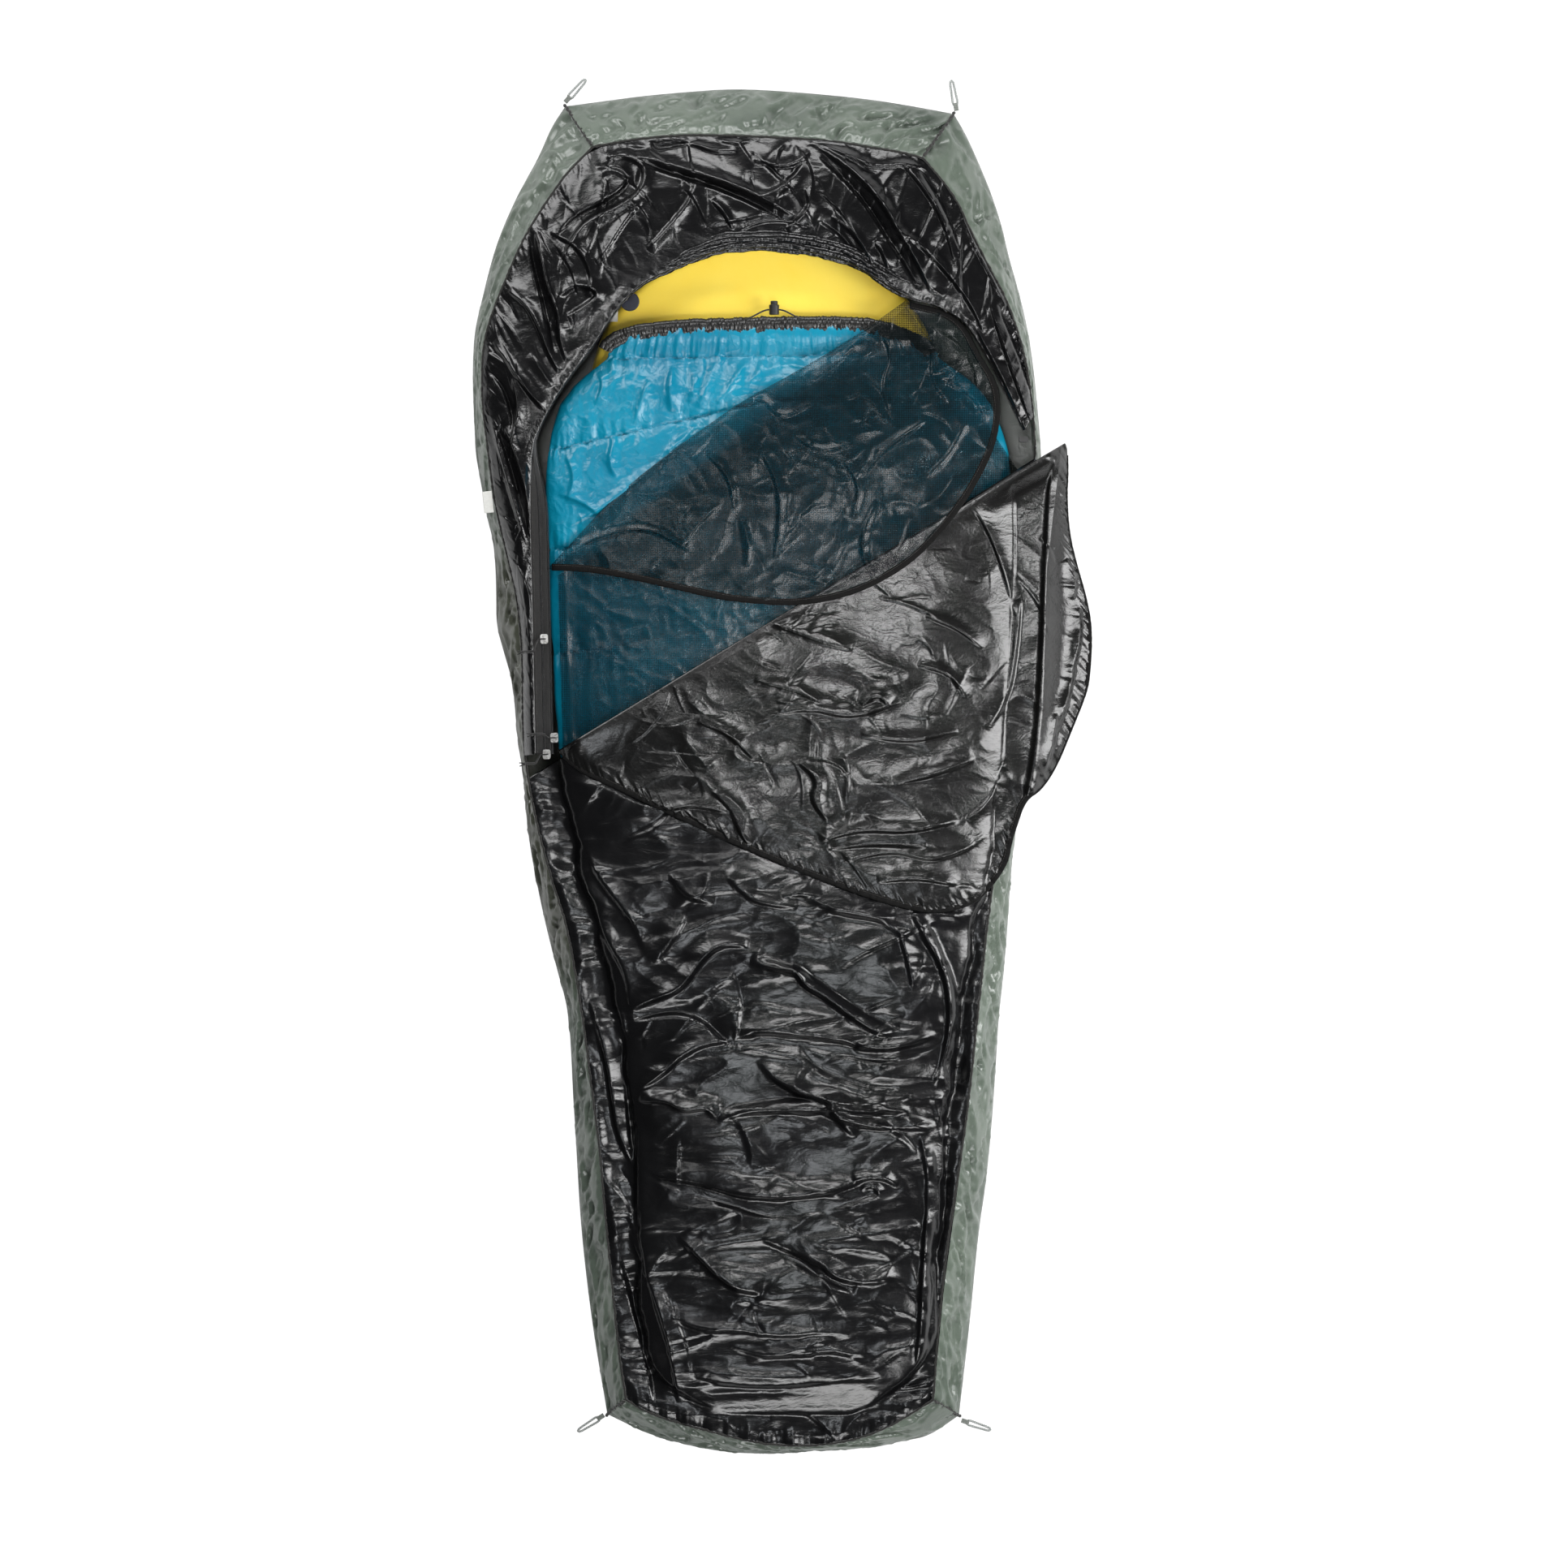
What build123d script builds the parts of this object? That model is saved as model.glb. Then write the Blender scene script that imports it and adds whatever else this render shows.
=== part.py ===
from build123d import *
import math
import os

# Bivy sack: grey bathtub floor, black top fabric, side-zipped storm door and
# insect-net door folded back, with the mattress and sleeping bag it holds.
# Units are millimetres.  +Y runs to the head, +X to the right, +Z up.
# The origin is the middle of the floor, on the ground.

# ---------------------------------------------------------------- dimensions
FLOOR_THICK = 1.2        # fabrics are drawn thick enough to be solids
FLOOR_INSET = 4.0        # floor edge inside the ground outline
WALL_THICK = 1.6
WALL_HEIGHT = 85.0       # tub seam above the ground
WALL_HEIGHT_FOOT = 72.0  # tub seam at the foot
WALL_DROP_Y = -600       # footward of this the seam and bag get lower
WALL_DROP_RUN = 460.0
TOP_THICK = 1.6
SEAM_GAP = 1.2           # clearance between sewn neighbours
BAG_CLEARANCE = 8.5      # foot panel above the crest of the bag

ZIP_Z = 121.0            # storm zip height along the left side
NET_ZIP_Z = 116.0        # net zip height along the left side
ZIP_X0, ZIP_X1 = -351.0, -362.0      # zip track at y = 0 and y = ZIP_Y1
ZIP_Y1 = 499.0
ZIP_FOOT_Y = 26.0        # foot end of the zips
ZIP_ANGLE = math.degrees(math.atan2(ZIP_X0 - ZIP_X1, ZIP_Y1))
HOOD_EDGE_OUT = 18.5     # hood edge outside the zip track
HOOD_Z_HEAD = 117.0      # hood edge over the head
HOOD_Z_END = 100.0       # hood edge at its right end
TAPE_WIDTH = 12.0
TAPE_THICK = 0.6
COIL_WIDTH = 3.0         # one half of the coil
COIL_HEIGHT = 2.2
STORM_ZIP_IN = 0.5       # storm zip inside the hood edge
NET_ZIP_IN = 12.5        # net zip inside the storm zip
SLIDER_WIDTH, SLIDER_LENGTH = 12.0, 15.0
PULL_RADIUS = 0.95       # zip pull cord

STORM_Z = 136.0          # storm door height
DOOR_THICK = 1.6
HANG_DROP = 0.70         # drop of the hanging side per millimetre outward
NET_Z = 132.0            # hinge height of the net door
NET_REST = 8.0           # open net door above its hinge
NET_DOOR_Z = NET_Z + NET_REST
NET_THICK = 1.0
BIND_WIDTH = 8.0         # edge binding
CLOTH_INSET = BIND_WIDTH + 0.4       # door cloth stops inside the binding

LOOP_RADIUS = 1.5        # stake loop cord
LOOP_LENGTH = 38.0
LOOP_WIDTH = 16.0        # stake loop at its root

MATTRESS_Z0, MATTRESS_Z1 = 3.0, 56.0
VALVE_X, VALVE_Y = -222.0, 738.0
VALVE_RADIUS = 15.0
BAG_Z0 = 59.0            # underside of the sleeping bag
BAG_MID = 85.0           # highest level of the bag's widest line
BAG_MID_FOOT = 76.0      # the same line at the foot
HEM_Z = 83.0
LOCK_X, LOCK_Y, LOCK_Z = 5.0, 724.5, 82.0    # middle of the cord lock

# ------------------------------------------------- outlines, (x, y) per point
# Ground outline; the sides run head to foot, the ends left to right
OUT_LEFT = [
    (-324, 1048), (-346, 1016), (-365, 970), (-385, 934), (-404, 899), (-431, 836),
    (-445, 787), (-455, 745), (-467, 696), (-470, 646), (-470, 599), (-467, 534),
    (-466, 502), (-458, 458), (-447, 397), (-438, 365), (-434, 320), (-433, 273),
    (-433, 230), (-421, 187), (-406, 136), (-401, 61), (-389, -14), (-384, -90),
    (-376, -141), (-366, -192), (-355, -243), (-337, -314), (-320, -374), (-315, -439),
    (-312, -512), (-308, -570), (-301, -700), (-291, -799), (-278, -896), (-261, -995),
    (-258, -1014)]
OUT_RIGHT = [
    (288, 1036), (308, 1002), (328, 957), (347, 911), (364, 859), (374, 813), (387, 768),
    (399, 722), (408, 676), (415, 625), (421, 563), (425, 512), (428, 448), (428, 384),
    (425, 320), (421, 243), (416, 166), (408, 90), (399, 13), (390, -64), (379, -142),
    (372, -259), (365, -333), (358, -397), (352, -504), (341, -635), (326, -733),
    (314, -864), (296, -1016)]
OUT_HEAD = [
    (-324, 1048), (-271, 1055), (-205, 1064), (-140, 1070), (-59, 1076), (34, 1071),
    (151, 1060), (230, 1047), (288, 1036)]
OUT_FOOT = [
    (-258, -1014), (-193, -1046), (-137, -1061), (-82, -1073), (-17, -1077), (49, -1071),
    (147, -1068), (212, -1056), (251, -1048), (296, -1016)]
# Seam between the tub and the top fabric, run the same way
SEAM_LEFT = [
    (-280, 980), (-320, 939), (-336, 918), (-369, 869), (-392, 829), (-417, 771),
    (-437, 722), (-451, 673), (-454, 625), (-453, 576), (-447, 525), (-440, 468),
    (-435, 429), (-425, 384), (-410, 321), (-399, 273), (-393, 220), (-390, 173),
    (-390, 99), (-388, 37), (-379, -26), (-366, -90), (-346, -166), (-320, -243),
    (-297, -374), (-285, -471), (-278, -524), (-268, -603), (-260, -700), (-250, -799),
    (-241, -896), (-228, -988)]
SEAM_RIGHT = [
    (238, 963), (272, 924), (294, 892), (308, 860), (328, 819), (347, 783), (369, 742),
    (387, 692), (399, 650), (407, 602), (412, 557), (415, 512), (413, 448), (410, 384),
    (404, 320), (399, 243), (392, 166), (384, 90), (374, 13), (365, -64), (353, -142),
    (339, -247), (332, -317), (323, -397), (310, -524), (292, -648), (274, -765),
    (261, -896), (255, -988)]
SEAM_HEAD = [
    (-280, 980), (-219, 991), (-156, 998), (-78, 998), (13, 995), (99, 989), (154, 980),
    (202, 972), (238, 963)]
SEAM_FOOT = [
    (-228, -988), (-192, -1009), (-147, -1024), (-95, -1038), (-45, -1051), (9, -1060),
    (81, -1060), (147, -1047), (198, -1024), (255, -988)]
# Hood edge, after the straight left side, round the head to the right
HOOD_ARC = [
    (-360, 548), (-335, 593), (-311, 627), (-285, 660), (-260, 700), (-230, 742),
    (-196, 771), (-147, 792), (-108, 809), (-78, 818), (-32, 822), (13, 822), (67, 814),
    (109, 804), (143, 788), (182, 763), (215, 744), (259, 733), (305, 707), (330, 668),
    (356, 622), (380, 573), (398, 535)]
# Storm door: free edge left to right, then the side that hangs over the right wall
STORM_EDGE = [
    (-333, 29), (-303, 1), (-254, -22), (-181, -56), (-115, -88), (-26, -128), (64, -165),
    (152, -198), (211, -215), (252, -222), (287, -218), (323, -206), (352, -174),
    (372, -142), (377, -112), (384, -89), (399, -45)]
STORM_HANG = [
    (399, -45), (424, -30), (449, 8), (472, 64), (493, 115), (501, 144), (505, 223),
    (495, 275), (480, 324), (468, 373), (464, 429), (466, 467), (465, 505)]
STORM_CREASE = [(399.0, -45.0), (454.0, 515.0)]
# Net door: free edge, from fold end to fold end
NET_EDGE = [
    (-352, 316), (-320, 316), (-271, 312), (-205, 299), (-140, 284), (-75, 269),
    (-26, 264), (30, 260), (86, 266), (146, 283), (218, 324), (266, 373), (304, 422),
    (334, 474), (353, 519), (360, 572), (353, 613), (326, 654), (306, 696), (278, 721),
    (211, 736)]
# Fixed net panel: foot edge, then head edge, each left to right
NET_PANEL_FOOT = [(-327.0, 44.0), (392.0, 478.0)]
NET_PANEL_HEAD = [(-327.0, 300.0), (212.0, 722.0)]
# Mattress, clockwise from above
MATTRESS = [
    (-6, 847), (70, 837), (141, 809), (198, 765), (237, 710), (262, 653), (273, 576),
    (275, 320), (262, -64), (243, -448), (215, -806), (192, -934), (141, -975), (-6, -988),
    (-154, -975), (-205, -934), (-228, -806), (-256, -448), (-275, -64), (-288, 320),
    (-287, 550), (-284, 627), (-262, 698), (-224, 755), (-160, 806), (-83, 837)]
# Hem of the sleeping bag's mouth, left to right
HEM = [
    (-256, 673), (-221, 690), (-140, 698), (-74, 699), (-6, 701), (64, 702), (128, 702),
    (173, 697), (218, 681), (246, 668)]
# Sleeping bag: y, left edge x, right edge x, crest z
BAG = [
    (-1000, -160, 208, 88), (-960, -190, 238, 96), (-832, -201, 253, 102),
    (-704, -205, 259, 104), (-576, -211, 266, 106), (-448, -224, 275, 109),
    (-320, -253, 301, 113), (-192, -288, 333, 118), (-64, -314, 352, 121),
    (26, -333, 362, 122), (192, -345, 374, 122), (320, -350, 380, 121),
    (448, -354, 378, 118), (499, -352, 373, 115), (534, -344, 364, 112),
    (576, -330, 346, 108), (612, -303, 316, 103), (637, -271, 280, 98),
    (655, -250, 255, 92)]
# y of the sections the bag is built through
BAG_SECTIONS = [
    -1000, -980, -940, -860, -760, -660, -560, -460, -380, -300, -220, -140, -60, 20,
    100, 180, 260, 340, 420, 480, 530, 570, 605, 632, 655]


# ------------------------------------------------------------------- helpers
def lerp(start, end, t):
    return start + (end - start) * t


def lerp_point(start, end, t):
    return tuple(lerp(u, v, t) for u, v in zip(start, end))


def unit(dx, dy):
    """Plan direction of length one."""
    size = math.hypot(dx, dy) or 1.0
    return dx / size, dy / size


def value_at(curve, y):
    """First coordinate of (value, y) points at a given y."""
    pts = sorted(curve, key=lambda p: p[1])
    if y <= pts[0][1]:
        return pts[0][0]
    for (v0, y0), (v1, y1) in zip(pts, pts[1:]):
        if y <= y1:
            return lerp(v0, v1, (y - y0) / max(y1 - y0, 1e-9))
    return pts[-1][0]


def resample(curve, count, rounds=2):
    """Points at even steps along a polyline, its corners cut in rounds first."""
    pts = [tuple(map(float, p)) for p in curve]
    for _ in range(rounds):
        cut = [pts[0]]
        for start, end in zip(pts, pts[1:]):
            cut += [lerp_point(start, end, 0.25), lerp_point(start, end, 0.75)]
        pts = cut + [pts[-1]]
    run = [0.0]
    for start, end in zip(pts, pts[1:]):
        run.append(run[-1] + math.dist(start, end))
    result, j = [], 0
    for k in range(count):
        goal = run[-1] * k / (count - 1)
        while j < len(run) - 2 and run[j + 1] < goal:
            j += 1
        t = (goal - run[j]) / max(run[j + 1] - run[j], 1e-9)
        result.append(lerp_point(pts[j], pts[j + 1], t))
    return result


def offset(pts, distance, closed=False):
    """Shift a plan line to its left-hand side: inward if it is a
    counter-clockwise ring.  Any z is kept."""
    last = len(pts) - 1
    result = []
    for i, p in enumerate(pts):
        before = pts[i - 1] if closed else pts[max(i - 1, 0)]
        after = pts[(i + 1) % len(pts)] if closed else pts[min(i + 1, last)]
        tx, ty = unit(after[0] - before[0], after[1] - before[1])
        result.append((p[0] - ty * distance, p[1] + tx * distance) + tuple(p[2:]))
    return result


def at_height(pts, z):
    return [(p[0], p[1], z) for p in pts]


def tri_solid(tris):
    """Solid from triangles, leaving out those with no area."""
    faces = []
    for tri in tris:
        p, q, r = (Vector(*corner) for corner in tri)
        if (q - p).cross(r - p).length < 1e-4:
            continue
        faces.append(Face(Wire.make_polygon([p, q, r], close=True)))
    return Solid(Shell(faces))


def quad(tris, p, q, r, s):
    tris.append((p, q, r))
    tris.append((p, r, s))


def sheet(grid, thick, closed=False, up=False):
    """Fabric between a grid of points (rows of equal length) and its copy,
    thick away along row step x column step, or upward if up is set."""
    rows, cols = len(grid), len(grid[0])
    if up:
        corner, row_next, col_next = Vector(*grid[0][0]), Vector(*grid[-1][0]), Vector(*grid[0][1])
        if (row_next - corner).cross(col_next - corner).Z < 0:
            thick = -thick
    far = []
    for i in range(rows):
        row = []
        for j in range(cols):
            row_step = Vector(*grid[min(i + 1, rows - 1)][j]) - Vector(*grid[max(i - 1, 0)][j])
            if closed:
                before, after = grid[i][(j - 1) % cols], grid[i][(j + 1) % cols]
            else:
                before, after = grid[i][max(j - 1, 0)], grid[i][min(j + 1, cols - 1)]
            normal = row_step.cross(Vector(*after) - Vector(*before)).normalized()
            p = Vector(*grid[i][j]) + normal * thick
            row.append((p.X, p.Y, p.Z))
        far.append(row)
    tris = []
    spans = [(j, (j + 1) % cols) for j in range(cols if closed else cols - 1)]
    for i in range(rows - 1):
        for j, k in spans:
            quad(tris, grid[i][j], grid[i][k], grid[i + 1][k], grid[i + 1][j])
            quad(tris, far[i][j], far[i + 1][j], far[i + 1][k], far[i][k])
    for j, k in spans:
        quad(tris, grid[0][j], far[0][j], far[0][k], grid[0][k])
        quad(tris, grid[-1][j], grid[-1][k], far[-1][k], far[-1][j])
    if not closed:
        for i in range(rows - 1):
            quad(tris, grid[i][0], grid[i + 1][0], far[i + 1][0], far[i][0])
            quad(tris, grid[i][-1], far[i][-1], far[i + 1][-1], grid[i + 1][-1])
    return tri_solid(tris)


def strip(line, width, thick):
    """Flat strip from a line to its left-hand side, thickened upward."""
    return sheet([line, offset(line, width)], thick, up=True)


def tube(rings):
    """Closed form through rings of equal length, with fan caps."""
    tris = []
    count = len(rings[0])
    for ring, following in zip(rings, rings[1:]):
        for j in range(count):
            k = (j + 1) % count
            quad(tris, ring[j], ring[k], following[k], following[j])
    for ring in (rings[0], rings[-1]):
        middle = tuple(sum(p[i] for p in ring) / count for i in range(3))
        for j in range(count):
            tris.append((middle, ring[j], ring[(j + 1) % count]))
    return tri_solid(tris)


def cord(points, radius, sides=8):
    """Round cord through 3-D points."""
    rings = []
    for i, point in enumerate(points):
        before = Vector(*points[max(i - 1, 0)])
        after = Vector(*points[min(i + 1, len(points) - 1)])
        along = (after - before).normalized()
        ref = Vector(0, 0, 1) if abs(along.Z) < 0.9 else Vector(1, 0, 0)
        across = along.cross(ref).normalized()
        third = along.cross(across).normalized()
        ring = []
        for angle in turn_angles(sides):
            q = (Vector(*point) + across * (radius * math.cos(angle))
                 + third * (radius * math.sin(angle)))
            ring.append((q.X, q.Y, q.Z))
        rings.append(ring)
    return tube(rings)


def turn_angles(per_turn, count=None):
    return [2 * math.pi * k / per_turn for k in range(count or per_turn)]


def seam_z(y):
    """Height of the tub seam."""
    if y > WALL_DROP_Y:
        return WALL_HEIGHT
    return lerp(WALL_HEIGHT, WALL_HEIGHT_FOOT, min((WALL_DROP_Y - y) / WALL_DROP_RUN, 1.0))


BAG_LEFT = [(left, y) for y, left, right, top in BAG]
BAG_RIGHT = [(right, y) for y, left, right, top in BAG]
BAG_CREST = [(top, y) for y, left, right, top in BAG]

os.makedirs("parts", exist_ok=True)


def write(name, shape):
    shape.label = name
    export_step(shape, "parts/" + name + ".step")


# ----------------------------------------------------------------------- tub
def floor_panel():
    left, right = resample(OUT_LEFT, 60), resample(OUT_RIGHT, 50)
    head, foot = resample(OUT_HEAD, 18), resample(OUT_FOOT, 18)
    ring = foot[1:-1] + right[::-1] + head[1:-1][::-1] + left     # counter-clockwise
    outline = offset(ring, FLOOR_INSET, closed=True)
    return extrude(make_face(Polyline(*outline, close=True)), FLOOR_THICK)


# Share of the way from ground to seam, share of the bulge there
WALL_PROFILE = [(0.0, 0.0), (0.35, 0.6), (0.7, 0.5), (1.0, 0.0)]


def wall(ground, seam, thick, count, margin, bulge):
    """Tub wall; margin is the share of its length left free at each end.
    The sign of thick puts the thickness outside."""
    samples = 200
    ground, seam = resample(ground, samples), resample(seam, samples)
    rows = [[] for _ in WALL_PROFILE]
    for k in range(count):
        place = lerp(margin, 1 - margin, k / (count - 1)) * (samples - 1)
        i = min(int(place), samples - 2)
        low = lerp_point(ground[i], ground[i + 1], place - i)
        high = lerp_point(seam[i], seam[i + 1], place - i)
        nx, ny = unit(low[0] - high[0], low[1] - high[1])
        top = seam_z(high[1]) - SEAM_GAP
        for row, (share, bulge_share) in zip(rows, WALL_PROFILE):
            x, y = lerp_point(low, high, share)
            out = bulge * bulge_share
            row.append((x + nx * out, y + ny * out, lerp(0.3, top, share ** 0.9)))
    return sheet(rows, thick)


def corner_seam_tapes():
    """Tape over the four corner seams of the tub, just outside the walls."""
    half_width = 5
    tapes = []
    for low, high in ((OUT_LEFT[0], SEAM_LEFT[0]), (OUT_RIGHT[0], SEAM_RIGHT[0]),
                      (OUT_LEFT[-1], SEAM_LEFT[-1]), (OUT_RIGHT[-1], SEAM_RIGHT[-1])):
        nx, ny = unit(low[0] - high[0], low[1] - high[1])
        px, py = -ny * half_width, nx * half_width
        lines = []
        for share in (0.0, 0.5, 1.0):
            x, y = lerp_point(low, high, share)
            out = 9.0 - 2 * share
            x, y = x + nx * out, y + ny * out
            z = lerp(6.0, seam_z(high[1]) - 1.5, share)
            lines.append([(x - px, y - py, z), (x + px, y + py, z)])
        tapes.append(sheet(lines, 1.0))
    return Compound(children=tapes)


write("floor_panel", floor_panel())
write("tub_wall_left", wall(OUT_LEFT, SEAM_LEFT, -WALL_THICK, 40, 0.004, 1.0))
write("tub_wall_right", wall(OUT_RIGHT, SEAM_RIGHT, WALL_THICK, 40, 0.004, 1.0))
write("tub_wall_head", wall(OUT_HEAD, SEAM_HEAD, WALL_THICK, 16, 0.012, 3.0))
write("tub_wall_foot", wall(OUT_FOOT, SEAM_FOOT, -WALL_THICK, 16, 0.012, 3.0))
write("corner_seam_tapes", corner_seam_tapes())


# ---------------------------------------------------------------- top fabric
def foot_panel():
    """Arched cover from the foot seam to a slanting edge by the doors."""
    rows, cols = 26, 15
    foot_y, left_end_y, right_end_y = -984, -12, 488
    foot_seam = resample(SEAM_FOOT, 40)
    grid = []
    for i in range(rows):
        along = (i / (rows - 1)) ** 1.25
        left_y, right_y = lerp(foot_y, left_end_y, along), lerp(foot_y, right_end_y, along)
        left_x = value_at(SEAM_LEFT, left_y) + 2
        right_x = value_at(SEAM_RIGHT, right_y) - 2
        to_seam = (1 - along) ** 9         # pull of the foot seam's curve
        rise = min(1.0, (i / 3.0)) ** 0.6
        row = []
        for j in range(cols):
            across = 0.5 - 0.5 * math.cos(math.pi * j / (cols - 1))
            across = lerp(across, j / (cols - 1), 0.35)
            seam_point = foot_seam[int(round(across * 39))]
            x = lerp(lerp(left_x, right_x, across), seam_point[0], to_seam * 0.6)
            y = lerp(lerp(left_y, right_y, across), seam_point[1] + 3, to_seam)
            arch = (1 - abs(2 * across - 1) ** 2.5) ** (1 / 2.5)
            top = value_at(BAG_CREST, y) + BAG_CLEARANCE
            row.append((x, y, lerp(seam_z(y) + SEAM_GAP, top, arch * rise)))
        grid.append(row)
    return sheet([row[::-1] for row in grid[::-1]], TOP_THICK)


# Hood edge beside the zips, from the foot end of the left side to the right end
HOOD_EDGE = [
    (lerp(ZIP_X0, ZIP_X1, ZIP_FOOT_Y / ZIP_Y1) - HOOD_EDGE_OUT, ZIP_FOOT_Y),
    (lerp(ZIP_X0, ZIP_X1, 0.5) - HOOD_EDGE_OUT, 250.0),
    (ZIP_X1 - HOOD_EDGE_OUT, ZIP_Y1)] + HOOD_ARC


def hood_edge_z(t):
    """Level along the left, lower over the head, dropping to the right end."""
    if t < 0.30:
        return ZIP_Z
    if t < 0.45:
        return lerp(ZIP_Z, HOOD_Z_HEAD, (t - 0.30) / 0.15)
    if t < 0.80:
        return HOOD_Z_HEAD
    return lerp(HOOD_Z_HEAD, HOOD_Z_END, (t - 0.80) / 0.20)


def hood_panel():
    rows, cols = 6, 64
    seam = ([(-387, 24)] + [p for p in SEAM_LEFT[::-1] if p[1] > 30] + SEAM_HEAD[1:-1]
            + [p for p in SEAM_RIGHT if p[1] > 530])
    seam, edge = resample(seam, cols, 1), resample(HOOD_EDGE, cols)
    grid = []
    for i in range(rows):
        share = i / (rows - 1)
        row = []
        for k in range(cols):
            z = lerp(WALL_HEIGHT + SEAM_GAP, hood_edge_z(k / (cols - 1)),
                     math.sin(share * math.pi / 2))
            z += 6 * math.sin(share * math.pi)
            row.append(lerp_point(seam[k], edge[k], lerp(0.02, 0.98, share)) + (z,))
        grid.append(row[::-1])
    return sheet(grid, TOP_THICK)


def seam_tape():
    """Narrow ring just outside the seam between tub and top."""
    # clockwise, so offsets go outward
    ring = (resample(SEAM_LEFT[::-1], 40, 1) + resample(SEAM_HEAD, 14, 1)[1:-1]
            + resample(SEAM_RIGHT, 40, 1) + resample(SEAM_FOOT[::-1], 14, 1)[1:-1])
    lines = [[(x, y, seam_z(y) + 0.2) for x, y in offset(ring, out, closed=True)]
             for out in (3.0, 6.5)]
    return sheet(lines, 0.7, closed=True, up=True)


write("foot_panel", foot_panel())
write("hood_panel", hood_panel())
write("seam_tape", seam_tape())


# ---------------------------------------------------------------- zip tracks
def zip_line(inward, dz):
    """Line inward from the hood edge, dz above it."""
    count = 70
    line = offset(resample(HOOD_EDGE, count), -inward)
    return [(x, y, hood_edge_z(k / (count - 1)) + dz) for k, (x, y) in enumerate(line)]


def write_zip(prefix, inward, dz):
    tape_in = inward + 1.0
    tape_line = zip_line(tape_in, dz - TAPE_THICK / 2)
    write(prefix + "_zip_tape", strip(tape_line, -TAPE_WIDTH, TAPE_THICK))
    coil_line = zip_line(tape_in + TAPE_WIDTH + 0.4, dz - COIL_HEIGHT / 2)
    write(prefix + "_zip_coil", strip(coil_line, -COIL_WIDTH, COIL_HEIGHT))


def zip_end_stop():
    """Moulded stop at the right end of both zips."""
    stop = Pos(396, 520, 104) * Box(14, 9, 26)
    return fillet(stop.edges().filter_by(Axis.Z), 2.5)


def zip_draught_flap():
    """Flap behind the zips over the head."""
    arc = [p for p in HOOD_ARC if p[1] > 735 and -250 < p[0] < 200]
    outer = offset(resample(arc, 24), -24.0)
    inner = offset(outer, -22.0)
    return sheet([at_height(outer, 96.0), at_height(inner, 92.0)], 2.0, up=True)


write_zip("storm", STORM_ZIP_IN, 0.0)
write_zip("net", STORM_ZIP_IN + NET_ZIP_IN, NET_ZIP_Z - ZIP_Z)
write("zip_end_stop", zip_end_stop())
write("zip_draught_flap", zip_draught_flap())


# --------------------------------------------------------------------- doors
def net_panel():
    """Fixed net, drooping toward its left and right ends."""
    rows, cols = 7, 17
    grid = []
    for i in range(rows):
        along = i / (rows - 1)
        left = lerp_point(NET_PANEL_FOOT[0], NET_PANEL_HEAD[0], along)
        right = lerp_point(NET_PANEL_FOOT[1], NET_PANEL_HEAD[1], along)
        row = []
        for j in range(cols):
            across = j / (cols - 1)
            from_end = min(1.0, min(across, 1 - across) / 0.12)
            z = lerp(113.5, 127.5 + 2.5 * along, from_end ** 0.5)
            row.append(lerp_point(left, right, across) + (z,))
        grid.append(row)
    return sheet([row[::-1] for row in grid[::-1]], NET_THICK)


def storm_z(p):
    """Storm door height: level, then dropping outside the crease."""
    (ax, ay), (bx, by) = STORM_CREASE
    dx, dy = bx - ax, by - ay
    outside = ((p[0] - ax) * dy - (p[1] - ay) * dx) / math.hypot(dx, dy)
    return STORM_Z - max(0.0, outside) * HANG_DROP


storm_edge = resample(STORM_EDGE, 34)
storm_hang = resample(STORM_HANG, 22)


def storm_door():
    """Level cloth and the cloth that hangs over the right wall."""
    cloth_z = STORM_Z - DOOR_THICK / 2
    inset = offset(storm_edge + [(454.0, 505.0)], CLOTH_INSET, closed=True)
    outline = [(-318, 30)] + inset[2:-2] + [(388.5, -40), (441.0, 489.0)]
    level = make_face(Polyline(*outline, close=True))
    level = Pos(0, 0, cloth_z) * extrude(level, DOOR_THICK)

    root = resample([(389.5, -38.0), (442.0, 489.0)], 22, 0)[1:-1]
    outer = offset(storm_hang, CLOTH_INSET)[1:-1]
    # the first row lies within the level cloth so that the two join
    hanging = sheet([[(x - 6.0, y + 0.6, cloth_z) for x, y in root],
                     [(x - 1.0, y + 0.1, cloth_z) for x, y in root],
                     [(p[0], p[1], storm_z(p) - DOOR_THICK / 2) for p in outer]],
                    DOOR_THICK, up=True)
    return level + hanging


def net_door():
    inset = offset(resample(NET_EDGE, 48), CLOTH_INSET)
    outline = [(-336, 332)] + inset[3:-3] + [(205, 727)]
    cloth = make_face(Polyline(*outline, close=True))
    return Pos(0, 0, NET_DOOR_Z) * extrude(cloth, NET_THICK)


write("net_panel", net_panel())
write("storm_door", storm_door())
binding = [(p[0], p[1], storm_z(p) - 1.2) for p in storm_edge[1:] + storm_hang[1:-1]]
write("storm_door_binding", strip(binding, BIND_WIDTH, 2.4))
door_coil = offset([(x, y, z - 1.9) for x, y, z in binding[1:-1]], 1.0)
write("storm_door_coil", strip(door_coil, COIL_WIDTH, 1.5))
write("net_door", net_door())
net_binding = at_height(resample(NET_EDGE, 48)[1:-1], NET_DOOR_Z - 0.6)
write("net_door_binding", strip(net_binding, BIND_WIDTH, 2.2))


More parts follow.
